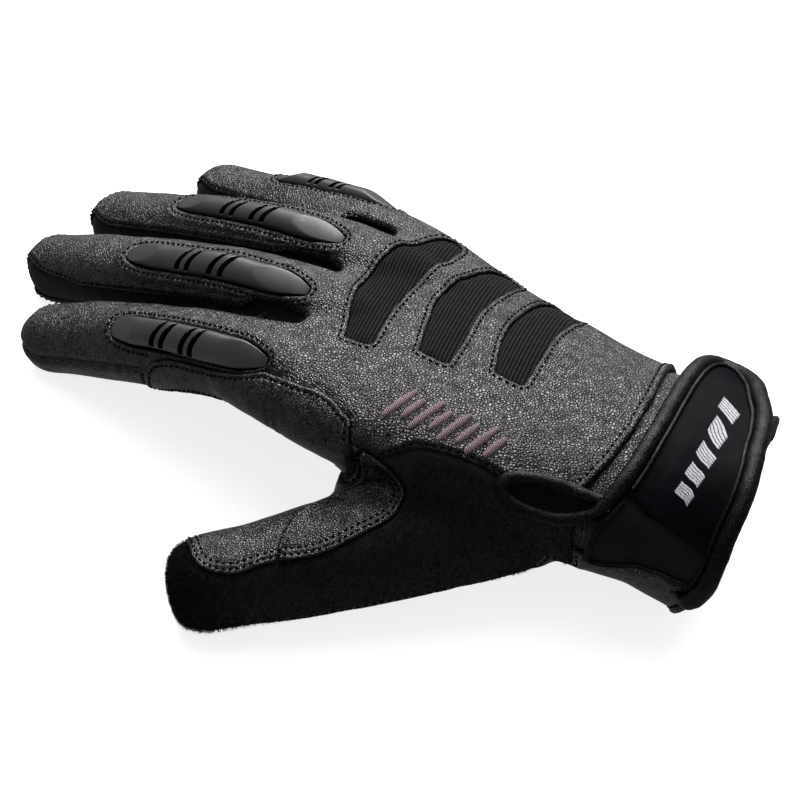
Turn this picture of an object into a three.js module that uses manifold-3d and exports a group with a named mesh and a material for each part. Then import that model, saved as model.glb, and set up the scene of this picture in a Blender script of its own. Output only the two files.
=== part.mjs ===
// Climbing glove for a right hand, resting palm down on its fingertips, thumb and cuff.
// Millimetres, +Z up, fingers towards -X, thumb towards -Y, knuckle line at x = 0.

import * as THREE from 'three';
import { mergeVertices } from 'three/addons/utils/BufferGeometryUtils.js';
import Module from 'manifold-3d';

const wasm = await Module();
wasm.setup();

// Driving sizes
const palmLength = 107; // knuckle line to the cuff end
const palmHalfWidth = 46.5; // half the width over the knuckles
const palmHeight = 39; // middle of the hand above the rest, at the knuckles
const palmHalfDepth = 21; // half the thickness of the hand
const fingerReach = 126; // knuckle line to the last full row of the middle finger
const fingerHeight = 43; // highest middle of a finger above the rest
const fingerHalfWidth = 11.7;
const thumbHalfWidth = 16;
const tipHeight = 9.5; // middle of a fingertip above the rest
const wall = 1.8; // thickness of the leather and cloth
const seamGap = 0.3; // clearance between neighbouring pieces
const fourchetteHalfHeight = 6;
const cuffLeanAcross = -0.1; // the cuff end reaches further on the thumb's side
const cuffLeanUp = 0.12; // and further over the back than under the palm
const guardRise = 2.4; // how far a knuckle guard stands above the leather
const flapThickness = 2.4;
const pipingRadius = 2.3;
const slitBindingRadius = 1.9;
const cordLift = 0.75; // clearance of the rolled edges over the facets below them

// How the surfaces are faceted
const roundness = 2.3; // exponent of the rounded cross sections, 2 is an ellipse
const handSegments = 28;
const handInsideSegments = 18;
const fingerSegments = 16;
const fingerInsideSegments = 12;
const tipRings = 3;
const tipInsideRings = 2;
const far = 200; // reaches past the glove in any direction

// Hand rows: along as a share of palmLength, across and halfWidth of palmHalfWidth,
// height of palmHeight, halfDepth of palmHalfDepth, roll in degrees.
const handRows = [
  { along: -0.36, across: 0.15, height: 0.94, halfWidth: 0.88, halfDepth: 0.4, roll: -3 },
  { along: -0.33, across: 0.15, height: 0.96, halfWidth: 0.95, halfDepth: 0.55, roll: -4 },
  { along: -0.168, across: 0.11, height: 1.0, halfWidth: 1.01, halfDepth: 0.72, roll: -6 },
  { along: 0.037, across: 0.043, height: 0.975, halfWidth: 1.0, halfDepth: 0.86, roll: -9 },
  { along: 0.243, across: 0.022, height: 0.91, halfWidth: 0.935, halfDepth: 0.93, roll: -10 },
  { along: 0.449, across: 0.032, height: 0.82, halfWidth: 0.86, halfDepth: 0.976, roll: -8 },
  { along: 0.636, across: 0.065, height: 0.744, halfWidth: 0.774, halfDepth: 1.0, roll: -4 },
  { along: 0.785, across: 0.108, height: 0.68, halfWidth: 0.71, halfDepth: 1.024, roll: 0 },
  { along: 0.897, across: 0.097, height: 0.654, halfWidth: 0.667, halfDepth: 1.2, roll: 0 },
  { along: 1.0, across: 0.065, height: 0.641, halfWidth: 0.634, halfDepth: 1.33, roll: 0 },
  { along: 1.12, across: 0.06, height: 0.641, halfWidth: 0.634, halfDepth: 1.34, roll: 0 },
];

// Fingers: root and tip as shares of palmHalfWidth across, rootHeight of its own height,
// reach of fingerReach, height of fingerHeight, girth of fingerHalfWidth.
const fingers = {
  index: { root: -0.6, tip: -0.38, reach: 0.861, height: 1.023, girth: 0.99, rootHeight: 0.87 },
  middle: { root: -0.086, tip: 0.18, reach: 1.0, height: 1.046, girth: 1.0, rootHeight: 0.915 },
  ring: { root: 0.409, tip: 0.761, reach: 0.96, height: 1.0, girth: 1.0, rootHeight: 0.93 },
  little: { root: 0.731, tip: 1.363, reach: 0.794, height: 0.826, girth: 0.965, rootHeight: 0.93 },
};
const fingerRootAlong = 0.093; // as a share of palmLength, inside the hand

// Bend shared by the fingers: along from root to tip, spread towards the tip's side,
// height between floor and knuckle, girth.
const fingerBend = [
  { along: 0, spread: 0, height: 0, halfWidth: 1.03, halfDepth: 1.05 },
  { along: 0.22, spread: 0.18, height: 1, halfWidth: 1.02, halfDepth: 1.06 },
  { along: 0.42, spread: 0.385, height: 0.9, halfWidth: 1.01, halfDepth: 1.04 },
  { along: 0.63, spread: 0.625, height: 0.68, halfWidth: 0.98, halfDepth: 1.0 },
  { along: 0.82, spread: 0.845, height: 0.445, halfWidth: 0.94, halfDepth: 0.95 },
  { along: 1, spread: 1, height: 0, halfWidth: 0.88, halfDepth: 0.885 },
];

// Thumb: along of palmLength, across of palmHalfWidth, height of palmHeight, rest of thumbHalfWidth.
const thumbRows = [
  { along: 0.58, across: -0.344, height: 0.692, halfWidth: 0.81, halfDepth: 0.81 },
  { along: 0.449, across: -0.56, height: 0.615, halfWidth: 1.0, halfDepth: 0.94 },
  { along: 0.28, across: -0.903, height: 0.551, halfWidth: 1.0, halfDepth: 0.94 },
  { along: 0.131, across: -1.204, height: 0.462, halfWidth: 0.94, halfDepth: 0.888 },
  { along: 0, across: -1.462, height: 0.385, halfWidth: 0.888, halfDepth: 0.844 },
  { along: -0.121, across: -1.677, height: 0.308, halfWidth: 0.838, halfDepth: 0.825 },
];

// Ribbed windows: plan rows from the thumb side to the far side, along as shares of palmLength
// for the finger edge and the cuff edge, across of palmHalfWidth.
const flexPanels = {
  flex_panel_knuckle: [
    { across: -0.35, fingerEdge: -0.075, cuffEdge: 0.005 },
    { across: -0.02, fingerEdge: -0.132, cuffEdge: -0.022 },
    { across: 0.34, fingerEdge: -0.158, cuffEdge: -0.03 },
    { across: 0.9, fingerEdge: -0.105, cuffEdge: -0.03 },
  ],
  flex_panel_middle: [
    { across: -0.25, fingerEdge: 0.12, cuffEdge: 0.205 },
    { across: 0.02, fingerEdge: 0.08, cuffEdge: 0.19 },
    { across: 0.35, fingerEdge: 0.045, cuffEdge: 0.163 },
    { across: 0.87, fingerEdge: 0.08, cuffEdge: 0.163 },
  ],
  flex_panel_wrist: [
    { across: -0.14, fingerEdge: 0.315, cuffEdge: 0.396 },
    { across: 0.15, fingerEdge: 0.268, cuffEdge: 0.38 },
    { across: 0.42, fingerEdge: 0.25, cuffEdge: 0.364 },
    { across: 0.83, fingerEdge: 0.262, cuffEdge: 0.355 },
  ],
};

// Knuckle guards: ends along as shares of fingerReach, across of palmHalfWidth.
const guards = {
  guard_index: { finger: 'index', front: -0.64, rear: -0.184, frontAcross: -0.55, rearAcross: -0.71 },
  guard_middle: { finger: 'middle', front: -0.744, rear: -0.206, frontAcross: 0.045, rearAcross: -0.12 },
  guard_ring: { finger: 'ring', front: -0.76, rear: -0.24, frontAcross: 0.69, rearAcross: 0.44 },
  guard_little: { finger: 'little', front: -0.63, rear: -0.25, frontAcross: 1.25, rearAcross: 1.03 },
};
const guardHalfWidth = 4.8;
const guardAboveSeam = 2; // lowest edge of a guard over the side seam

// Outline of a guard: along from front to rear, side in guardHalfWidth.
const guardOutline = [
  { along: 0, side: 0.3 },
  { along: 0.1, side: 0.8 },
  { along: 0.3, side: 1 },
  { along: 0.75, side: 1 },
  { along: 0.93, side: 0.6 },
  { along: 1, side: 0.15 },
];

// Outlines in plan, along as shares of palmLength and across as shares of palmHalfWidth.
const thumbPatchOutline = [
  { along: -0.56, across: -1.25 },
  { along: -0.56, across: -1.7 },
  { along: -0.19, across: -1.69 },
  { along: -0.127, across: -1.79 },
  { along: -0.041, across: -1.738 },
  { along: 0.025, across: -1.613 },
  { along: 0.129, across: -1.452 },
  { along: 0.2, across: -1.258 },
  { along: 0.25, across: -1.09 },
  { along: 0.255, across: -0.957 },
  { along: 0.262, across: -0.73 },
  { along: 0.04, across: -0.73 },
  { along: 0.04, across: -0.9 },
];
const thumbBackOutline = [
  { along: 0.11, across: -0.95 },
  { along: -0.56, across: -1.25 },
  { along: -0.56, across: -2.6 },
  { along: 0.56, across: -2.6 },
  { along: 0.665, across: -1.3 },
  { along: 0.665, across: -0.66 },
  { along: 0.6, across: -0.7 },
  { along: 0.486, across: -0.72 },
  { along: 0.411, across: -0.73 },
  { along: 0.262, across: -0.806 },
];
const hemLine = [
  { along: 0.68, across: 1.4 },
  { along: 0.682, across: 0.66 },
  { along: 0.707, across: 0.26 },
  { along: 0.717, across: -0.04 },
  { along: 0.72, across: -0.28 },
  { along: 0.7, across: -0.46 },
  { along: 0.668, across: -0.64 },
  { along: 0.668, across: -1.4 },
];
const flapOutline = [
  { along: 0.68, across: -1.2 },
  { along: 0.68, across: -0.66 },
  { along: 0.712, across: -0.46 },
  { along: 0.732, across: -0.28 },
  { along: 0.73, across: -0.04 },
  { along: 0.72, across: 0.26 },
  { along: 0.7, across: 0.58 },
  { along: 0.73, across: 0.74 },
  { along: 0.79, across: 0.8 },
  { along: 0.855, across: 0.74 },
  { along: 0.9, across: 0.6 },
  { along: 0.945, across: 0.4 },
  { along: 1.0, across: 0.15 },
  { along: 1.02, across: -0.08 },
  { along: 1.02, across: -1.2 },
];
const flapPatchLine = [
  { along: 0.6, across: -0.35 },
  { along: 0.8, across: -0.37 },
  { along: 1.0, across: -0.46 },
  { along: 1.2, across: -0.48 },
];
const flapRootHeight = 0.74; // lower edge of the flap, as a share of palmHeight

// Side outlines, along as shares of palmLength and height as shares of palmHeight.
const underThumbLine = [
  { along: -0.56, height: 0.04 },
  { along: -0.14, height: 0.08 },
  { along: 0.047, height: 0.155 },
  { along: 0.28, height: 0.31 },
  { along: 0.467, height: 0.36 },
  { along: 0.75, height: 0.36 },
];
const thumbPatchTopLine = [
  { along: -0.56, height: 1.22 },
  { along: 0.084, height: 1.22 },
  { along: 0.14, height: 1.19 },
  { along: 0.187, height: 1.14 },
  { along: 0.234, height: 1.01 },
  { along: 0.27, height: 0.85 },
];
const sidePatchOutline = [
  { along: -0.607, height: 0.5 },
  { along: -0.44, height: 0.78 },
  { along: -0.187, height: 0.9 },
  { along: 0.081, height: 0.86 },
  { along: 0.081, height: 1.29 },
  { along: 0.047, height: 1.36 },
  { along: -0.035, height: 1.395 },
  { along: -0.185, height: 1.354 },
  { along: -0.27, height: 1.29 },
  { along: -0.44, height: 1.11 },
  { along: -0.57, height: 0.92 },
  { along: -0.607, height: 0.74 },
];
const sidePatchInner = -0.71; // the patch lies beyond this share of palmHalfWidth

// Paths of the rolled edges on the hand: along as a share of palmLength, turn in degrees
// about the hand from the little finger's side (0) over the back (90) to the thumb's side (180).
const flapPipingPath = [
  { along: 0.655, turn: 160 },
  { along: 0.675, turn: 148 },
  { along: 0.69, turn: 132 },
  { along: 0.695, turn: 115 },
  { along: 0.695, turn: 98 },
  { along: 0.685, turn: 82 },
  { along: 0.68, turn: 57 },
  { along: 0.725, turn: 40 },
  { along: 0.79, turn: 32 },
  { along: 0.86, turn: 37 },
  { along: 0.91, turn: 50 },
  { along: 0.96, turn: 66 },
  { along: 1.0, turn: 84 },
  { along: 1.02, turn: 100 },
  { along: 1.025, turn: 123 },
  { along: 1.03, turn: 149 },
  { along: 1.03, turn: 170 },
];
const slitBindingPath = [
  { along: 0.63, turn: 166 },
  { along: 0.57, turn: 173 },
  { along: 0.505, turn: 172 },
  { along: 0.46, turn: 164 },
  { along: 0.465, turn: 152 },
  { along: 0.505, turn: 143 },
  { along: 0.565, turn: 139 },
  { along: 0.63, turn: 140 },
];
const slitHole = { along: 0.565, across: -0.7, height: 1.12 };
const slitHalfLength = 7;
const slitHalfWidth = 2.2;

function vector(row) {
  return new THREE.Vector3(row.x, row.y, row.z);
}

// A closed solid from positions and triangles.
function solid(positions, faces) {
  const mesh = new wasm.Mesh({
    numProp: 3,
    vertProperties: new Float32Array(positions.flat()),
    triVerts: new Uint32Array(faces.flat()),
  });
  return new wasm.Manifold(mesh);
}

// A closed tube through rings that run anticlockwise about the direction of travel.
function tube(rings) {
  const count = rings[0].length;
  const positions = rings.flat();
  const faces = [];
  for (let i = 0; i < rings.length - 1; i++) {
    for (let j = 0; j < count; j++) {
      const next = (j + 1) % count;
      const a = i * count + j;
      const b = i * count + next;
      faces.push([a, b, a + count], [b, b + count, a + count]);
    }
  }
  const middle = (ring) => [0, 1, 2].map((k) => ring.reduce((sum, p) => sum + p[k], 0) / count);
  const first = positions.length;
  positions.push(middle(rings[0]), middle(rings[rings.length - 1]));
  const lastRing = (rings.length - 1) * count;
  for (let j = 0; j < count; j++) {
    const next = (j + 1) % count;
    faces.push([first, next, j], [first + 1, lastRing + j, lastRing + next]);
  }
  return solid(positions, faces);
}

// A prism over an outline of [u, v] points, anticlockwise, spanned by three axes.
function prism(outline, origin, uAxis, vAxis, low, high) {
  const normal = new THREE.Vector3().crossVectors(uAxis, vAxis);
  const place = (u, v, depth) => {
    const point = origin.clone().addScaledVector(uAxis, u);
    point.addScaledVector(vAxis, v).addScaledVector(normal, depth);
    return point.toArray();
  };
  const count = outline.length;
  const positions = [
    ...outline.map(([u, v]) => place(u, v, low)),
    ...outline.map(([u, v]) => place(u, v, high)),
  ];
  const faces = [];
  for (let i = 0; i < count; i++) {
    const next = (i + 1) % count;
    faces.push([i, next, count + i], [next, count + next, count + i]);
  }
  const contour = outline.map(([u, v]) => new THREE.Vector2(u, v));
  for (const [a, b, c] of THREE.ShapeUtils.triangulateShape(contour, [])) {
    faces.push([count + a, count + b, count + c], [c, b, a]);
  }
  return solid(positions, faces);
}

const origin = new THREE.Vector3();
const xAxis = new THREE.Vector3(1, 0, 0);
const yAxis = new THREE.Vector3(0, 1, 0);
const zAxis = new THREE.Vector3(0, 0, 1);

// Solid over an outline seen from above, or seen from the thumb side.
const fromAbove = (outline, low, high) => prism(outline, origin, xAxis, yAxis, low, high);
const fromSide = (outline, low, high) => prism(outline, origin, xAxis, zAxis, -high, -low);

const planPoint = (row) => [row.along * palmLength, row.across * palmHalfWidth];
const sidePoint = (row) => [row.along * palmLength, row.height * palmHeight];

function spacePoint(row) {
  return { x: row.along * palmLength, y: row.across * palmHalfWidth, z: row.height * palmHeight };
}

// The outline moved outwards on every side.
function grown(outline, by) {
  const count = outline.length;
  return outline.map(([u, v], i) => {
    const [pu, pv] = outline[(i + count - 1) % count];
    const [nu, nv] = outline[(i + 1) % count];
    const before = new THREE.Vector2(v - pv, pu - u).normalize();
    const after = new THREE.Vector2(nv - v, u - nu).normalize();
    const both = before.clone().add(after);
    const reach = (2 * by) / Math.max(both.lengthSq(), 0.5);
    return [u + both.x * reach, v + both.y * reach];
  });
}

// Rows with a smooth curve through every column, each gap cut into the given steps.
function smooth(rows, steps) {
  const keys = Object.keys(rows[0]);
  const at = (i) => rows[Math.min(rows.length - 1, Math.max(0, i))];
  const result = [];
  for (let i = 0; i < rows.length - 1; i++) {
    for (let s = 0; s < steps; s++) {
      const t = s / steps;
      const row = {};
      for (const key of keys) {
        const a = i > 0 ? at(i - 1)[key] : 2 * at(0)[key] - at(1)[key];
        const b = at(i)[key];
        const c = at(i + 1)[key];
        const d = i + 2 < rows.length ? at(i + 2)[key] : 2 * c - b;
        const linear = (c - a) * t;
        const square = (2 * a - 5 * b + 4 * c - d) * t * t;
        const cube = (3 * b - a - 3 * c + d) * t ** 3;
        row[key] = 0.5 * (2 * b + linear + square + cube);
      }
      result.push(row);
    }
  }
  result.push({ ...rows[rows.length - 1] });
  return result;
}

// Turns a sine or cosine into that of the rounded cross section.
function rounded(value) {
  return Math.sign(value) * Math.abs(value) ** (2 / roundness);
}

// The direction of a path at one of its points.
function travel(path, i) {
  const before = vector(path[Math.max(0, i - 1)]);
  const after = vector(path[Math.min(path.length - 1, i + 1)]);
  return after.sub(before).normalize();
}

// One point of the rounded cross section across the direction of travel.
function sectionPoint(row, direction, offset, angle, squeeze = 1) {
  const side = new THREE.Vector3().crossVectors(zAxis, direction).normalize();
  const up = new THREE.Vector3().crossVectors(direction, side);
  const roll = THREE.MathUtils.degToRad(row.roll ?? 0);
  const turnedSide = side.clone().multiplyScalar(Math.cos(roll)).addScaledVector(up, Math.sin(roll));
  const turnedUp = up.clone().multiplyScalar(Math.cos(roll)).addScaledVector(side, -Math.sin(roll));
  const across = rounded(Math.cos(angle)) * squeeze * (row.halfWidth + offset);
  const height = rounded(Math.sin(angle)) * squeeze * (row.halfDepth + offset);
  return vector(row).addScaledVector(turnedSide, across).addScaledVector(turnedUp, height);
}

function section(row, direction, offset, segments, squeeze = 1) {
  const ring = [];
  for (let j = 0; j < segments; j++) {
    const angle = (2 * Math.PI * j) / segments;
    ring.push(sectionPoint(row, direction, offset, angle, squeeze).toArray());
  }
  return ring;
}

// A limb of the glove from its rows, moved out by offset, with a rounded tip if asked.
function limb(path, segments, offset, roundTip) {
  const rings = path.map((row, i) => section(row, travel(path, i), offset, segments));
  if (roundTip) {
    const last = path[path.length - 1];
    const ahead = travel(path, path.length - 1);
    const count = offset < 0 ? tipInsideRings : tipRings;
    for (let k = 1; k <= count; k++) {
      const angle = (k / count) * Math.PI * 0.46;
      const centre = vector(last).addScaledVector(ahead, (last.halfWidth + offset) * Math.sin(angle));
      const row = { ...last, x: centre.x, y: centre.y, z: centre.z };
      rings.push(section(row, ahead, offset, segments, Math.cos(angle) ** 0.8));
    }
  }
  return tube(rings);
}

const handPath = handRows.map((row) => ({
  ...spacePoint(row),
  halfWidth: row.halfWidth * palmHalfWidth,
  halfDepth: row.halfDepth * palmHalfDepth,
  roll: row.roll,
}));

const thumbPath = thumbRows.map((row) => ({
  ...spacePoint(row),
  halfWidth: row.halfWidth * thumbHalfWidth,
  halfDepth: row.halfDepth * thumbHalfWidth,
}));

// The first and last rows have their own heights, the rows between follow the bend.
function fingerPath(finger) {
  const start = fingerRootAlong * palmLength;
  const end = -finger.reach * fingerReach;
  const top = finger.height * fingerHeight;
  const heights = fingerBend.map((row) => top * row.height);
  heights[0] = top * finger.rootHeight;
  heights[heights.length - 1] = tipHeight;
  return fingerBend.map((row, i) => ({
    x: start + row.along * (end - start),
    y: palmHalfWidth * (finger.root + row.spread * (finger.tip - finger.root)),
    z: heights[i],
    halfWidth: row.halfWidth * finger.girth * fingerHalfWidth,
    halfDepth: row.halfDepth * finger.girth * fingerHalfWidth,
  }));
}

const fingerPaths = Object.fromEntries(
  Object.entries(fingers).map(([name, finger]) => [name, fingerPath(finger)]),
);

// Inside surfaces have fewer facets than outside ones.
const handCount = (offset) => (offset < 0 ? handInsideSegments : handSegments);
const fingerCount = (offset) => (offset < 0 ? fingerInsideSegments : fingerSegments);
const handLimb = (offset) => limb(handPath, handCount(offset), offset, false);
const thumbLimb = (offset) => limb(thumbPath, fingerCount(offset), offset, true);
const fingerLimb = (name, offset) => limb(fingerPaths[name], fingerCount(offset), offset, true);

function together(solids) {
  return solids.reduce((sum, next) => sum.add(next));
}

function whole(offset) {
  const limbs = Object.keys(fingers).map((name) => fingerLimb(name, offset));
  return together([handLimb(offset), thumbLimb(offset), ...limbs]);
}

function box(xLow, xHigh, yLow, yHigh, zLow, zHigh) {
  const outline = [[xLow, yLow], [xHigh, yLow], [xHigh, yHigh], [xLow, yHigh]];
  return fromAbove(outline, zLow, zHigh);
}

// Everything on the glove's side of the slanted cuff end.
function beforeCuffEnd() {
  const middle = handPath[handPath.length - 2];
  const end = (y, z) => middle.x + cuffLeanAcross * (y - middle.y) + cuffLeanUp * (z - middle.z);
  const corners = [[-far, -far], [far, -far], [far, far], [-far, far]];
  const front = corners.map(([y, z]) => [-far, y, z]);
  const back = corners.map(([y, z]) => [end(y, z), y, z]);
  return tube([front, back]);
}

// The glove as one hollow skin: flat where it rests, open at the cuff.
function skin() {
  const outer = whole(0).subtract(box(-far, far, -far, far, -far, 0));
  const inside = whole(-wall).subtract(box(-far, far, -far, far, -far, wall));
  return outer.subtract(inside).intersect(beforeCuffEnd());
}

// Height of the side seam: the middle of the fingers ahead, the middle of the hand behind.
function valueAt(path, x, key) {
  const sorted = [...path].sort((a, b) => a.x - b.x);
  if (x <= sorted[0].x) return sorted[0][key];
  for (let i = 0; i < sorted.length - 1; i++) {
    const a = sorted[i];
    const b = sorted[i + 1];
    if (x <= b.x) return a[key] + ((b[key] - a[key]) * (x - a.x)) / (b.x - a.x);
  }
  return sorted[sorted.length - 1][key];
}

function seamHeight(name, x, y) {
  const blendStart = -0.28 * palmLength;
  const blendEnd = 0.05 * palmLength;
  const share = THREE.MathUtils.clamp((x - blendStart) / (blendEnd - blendStart), 0, 1);
  const onFinger = valueAt(fingerPaths[name], x, 'z');
  const roll = THREE.MathUtils.degToRad(valueAt(handPath, x, 'roll'));
  const onHand = valueAt(handPath, x, 'z') + (y - valueAt(handPath, x, 'y')) * Math.tan(roll);
  return onFinger + share * (onHand - onFinger);
}

// Everything below the side seam, moved up by offset.
function belowSeam(offset) {
  const stations = [-1.2, -1, -0.8, -0.55, -0.3, 0, 0.3, 0.65, 1.1];
  const names = Object.keys(fingers);
  const rings = stations.map((station) => {
    const x = station * (station < 0 ? fingerReach : palmLength);
    const top = names.map((name) => {
      const y = valueAt(fingerPaths[name], x, 'y');
      return [x, y, seamHeight(name, x, y) + offset];
    });
    const right = top[top.length - 1];
    const left = top[0];
    return [
      [x, -far, -far],
      [x, far, -far],
      [x, far, right[2]],
      ...top.reverse(),
      [x, -far, left[2]],
    ];
  });
  return tube(rings);
}

// Plan outline between the middles of two neighbouring fingers.
function betweenOutline(first, second) {
  const inset = 0.4 * fingerHalfWidth; // how far past a finger's middle line the piece starts
  const edge = (name, towards) => {
    const path = fingerPaths[name];
    const tip = path[path.length - 1].x;
    return [-0.15, -0.4, -0.65, -0.85, -1].map((share) => {
      const x = Math.max(share * fingerReach, tip);
      return [x, valueAt(path, x, 'y') + towards * inset];
    });
  };
  const near = edge(first, 1);
  const distant = edge(second, -1);
  const unique = (points) => points.filter(([x], i) => i === 0 || x < points[i - 1][0] - 0.01);
  const nearPoints = unique(near);
  const distantPoints = unique(distant);
  const nearTip = nearPoints[nearPoints.length - 1];
  const distantTip = distantPoints[distantPoints.length - 1];
  const middle = (nearTip[1] + distantTip[1]) / 2;
  const front = [[nearTip[0], middle], [distantTip[0], middle]];
  return [...nearPoints, ...front, ...distantPoints.reverse()].reverse();
}

function fourchetteRegion(first, second, grow) {
  const outline = grown(betweenOutline(first, second), grow);
  const column = fromAbove(outline, -far, far);
  const half = fourchetteHalfHeight + grow;
  return column.intersect(belowSeam(half)).subtract(belowSeam(-half));
}

function flexRegion(rows, grow) {
  const fingerSide = rows.map((row) => [row.fingerEdge * palmLength, row.across * palmHalfWidth]);
  const cuffSide = rows.map((row) => [row.cuffEdge * palmLength, row.across * palmHalfWidth]);
  const outline = [...cuffSide, ...fingerSide.reverse()];
  return fromAbove(grown(outline, grow), palmHeight, far);
}

function guardRegion(guard, grow) {
  const front = new THREE.Vector2(guard.front * fingerReach, guard.frontAcross * palmHalfWidth);
  const rear = new THREE.Vector2(guard.rear * fingerReach, guard.rearAcross * palmHalfWidth);
  const along = rear.clone().sub(front);
  const side = new THREE.Vector2(-along.y, along.x).normalize();
  const edge = (row, sign) => {
    const point = front.clone().addScaledVector(along, row.along);
    point.addScaledVector(side, sign * row.side * guardHalfWidth);
    return point.toArray();
  };
  const right = guardOutline.map((row) => edge(row, -1));
  const left = guardOutline.map((row) => edge(row, 1)).reverse();
  const outline = grown([...right, ...left], grow);
  return fromAbove(outline, -far, far).subtract(belowSeam(guardAboveSeam));
}

function underThumb(grow) {
  const line = underThumbLine.map(sidePoint).map(([x, z]) => [x, z - grow]);
  const outline = [...line, [line[line.length - 1][0], far], [line[0][0], far]];
  return fromSide(outline, -far, far);
}

function thumbPatchRegion(grow) {
  const outline = grown(thumbPatchOutline.map(planPoint), grow);
  const top = thumbPatchTopLine.map(sidePoint).map(([x, z]) => [x + grow, z + grow]);
  const side = [[top[0][0], -far], [top[top.length - 1][0], -far], ...top.reverse()];
  const column = fromAbove(outline, -far, far).intersect(underThumb(grow));
  return column.intersect(fromSide(side, -far, far));
}

function thumbBackRegion(grow) {
  const outline = grown(thumbBackOutline.map(planPoint), grow);
  return fromAbove(outline, -far, far).intersect(underThumb(grow));
}

function sidePatchRegion(grow) {
  const outline = grown(sidePatchOutline.map(sidePoint), grow);
  return fromSide(outline, -far, sidePatchInner * palmHalfWidth + grow);
}

function cuffRegion(grow) {
  const line = hemLine.map(planPoint).map(([x, y]) => [x - grow, y]);
  const outline = [...line, [far, line[line.length - 1][1]], [far, line[0][1]]];
  return fromAbove(outline, -far, far).subtract(belowSeam(-grow));
}

function flapRegion(grow) {
  const outline = grown(flapOutline.map(planPoint).reverse(), grow);
  return fromAbove(outline, flapRootHeight * palmHeight - grow, far);
}

function flapPatchRegion(grow) {
  const line = flapPatchLine.map(planPoint).map(([x, y]) => [x, y - grow]);
  const outline = [...line, [line[line.length - 1][0], far], [line[0][0], far]];
  return fromAbove(outline, -far, far);
}

// The point of the hand's surface at along and turn, moved out by offset.
function onHand(row, offset) {
  const x = row.along * palmLength;
  const last = handPath.length - 2;
  const i = Math.min(last, handPath.findIndex((_, k) => k === last || x < handPath[k + 1].x));
  const share = (x - handPath[i].x) / (handPath[i + 1].x - handPath[i].x);
  const angle = THREE.MathUtils.degToRad(row.turn);
  const before = sectionPoint(handPath[i], travel(handPath, i), offset, angle);
  const after = sectionPoint(handPath[i + 1], travel(handPath, i + 1), offset, angle);
  return before.lerp(after, share);
}

// A round cord lying on the hand along a path.
function cord(path, radius, offset) {
  const points = smooth(path, 2).map((row) => onHand(row, offset));
  const segments = 6;
  let up = zAxis.clone();
  const rings = points.map((row, i) => {
    const direction = travel(points, i);
    const side = new THREE.Vector3().crossVectors(up, direction).normalize();
    up = new THREE.Vector3().crossVectors(direction, side).normalize();
    const ring = [];
    for (let j = 0; j < segments; j++) {
      const angle = (2 * Math.PI * j) / segments;
      const point = vector(row).addScaledVector(side, radius * Math.cos(angle));
      point.addScaledVector(up, radius * Math.sin(angle));
      ring.push(point.toArray());
    }
    return ring;
  });
  return tube(rings);
}

function slitRegion() {
  const centre = vector(spacePoint(slitHole));
  const uAxis = new THREE.Vector3(0.93, 0.34, -0.11).normalize();
  const outward = new THREE.Vector3(0, -0.72, 0.7);
  const vAxis = new THREE.Vector3().crossVectors(outward, uAxis).normalize();
  const corners = 10;
  const outline = [];
  for (let i = 0; i < corners; i++) {
    const angle = (2 * Math.PI * i) / corners;
    outline.push([slitHalfLength * Math.cos(angle), slitHalfWidth * Math.sin(angle)]);
  }
  const through = 4 * wall;
  return prism(outline, centre, uAxis, vAxis, -through, through);
}

// Colours by material
const looks = {
  leather: { color: 0x2a2829, roughness: 0.55 },
  shinyLeather: { color: 0x232122, roughness: 0.4 },
  stretch: { color: 0x141415, roughness: 0.9 },
  terry: { color: 0x101011, roughness: 1 },
  rubber: { color: 0x3a3b3f, roughness: 0.45 },
  satin: { color: 0x1a1a24, roughness: 0.4 },
};

function node(name, body, look) {
  const mesh = body.getMesh();
  const geometry = new THREE.BufferGeometry();
  const positions = [];
  for (let i = 0; i < mesh.vertProperties.length; i += mesh.numProp) {
    positions.push(...mesh.vertProperties.subarray(i, i + 3));
  }
  geometry.setAttribute('position', new THREE.Float32BufferAttribute(positions, 3));
  geometry.setIndex([...mesh.triVerts]);
  const merged = mergeVertices(geometry, 1e-4);
  const result = new THREE.Mesh(merged, new THREE.MeshStandardMaterial(looks[look]));
  result.name = name;
  return result;
}

// Takes a region out of what is left of the skin and returns the piece inside it.
const pieces = new Map();
let rest = skin();

function takeOut(name, region, look) {
  pieces.set(name, { body: rest.intersect(region(0)), look });
  rest = rest.subtract(region(seamGap));
}

// The rolled edges lie on the skin with a small clearance under them.
const onSkin = (radius) => radius + cordLift;
const flapPiping = cord(flapPipingPath, pipingRadius, onSkin(pipingRadius));
const flapPipingRoom = cord(flapPipingPath, pipingRadius + seamGap, onSkin(pipingRadius));
const slitBinding = cord(slitBindingPath, slitBindingRadius, onSkin(slitBindingRadius));
const slitBindingRoom = cord(slitBindingPath, slitBindingRadius + seamGap, onSkin(slitBindingRadius));
rest = rest.subtract(slitRegion());

for (const [name, guard] of Object.entries(guards)) {
  rest = rest.subtract(guardRegion(guard, seamGap));
  const raised = fingerLimb(guard.finger, guardRise).subtract(fingerLimb(guard.finger, -wall));
  pieces.set(name, { body: raised.intersect(guardRegion(guard, 0)), look: 'rubber' });
}
takeOut('fourchette_index_middle', (grow) => fourchetteRegion('index', 'middle', grow), 'stretch');
takeOut('fourchette_middle_ring', (grow) => fourchetteRegion('middle', 'ring', grow), 'stretch');
takeOut('fourchette_ring_little', (grow) => fourchetteRegion('ring', 'little', grow), 'stretch');
takeOut('index_side_patch', sidePatchRegion, 'shinyLeather');
takeOut('thumb_patch', thumbPatchRegion, 'shinyLeather');
takeOut('thumb_back', thumbBackRegion, 'terry');
for (const [name, rows] of Object.entries(flexPanels)) {
  takeOut(name, (grow) => flexRegion(rows, grow), 'stretch');
}
takeOut('cuff_band', cuffRegion, 'leather');
takeOut('palm', (grow) => belowSeam(grow), 'leather');
pieces.set('hand_back', { body: rest, look: 'leather' });

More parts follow.
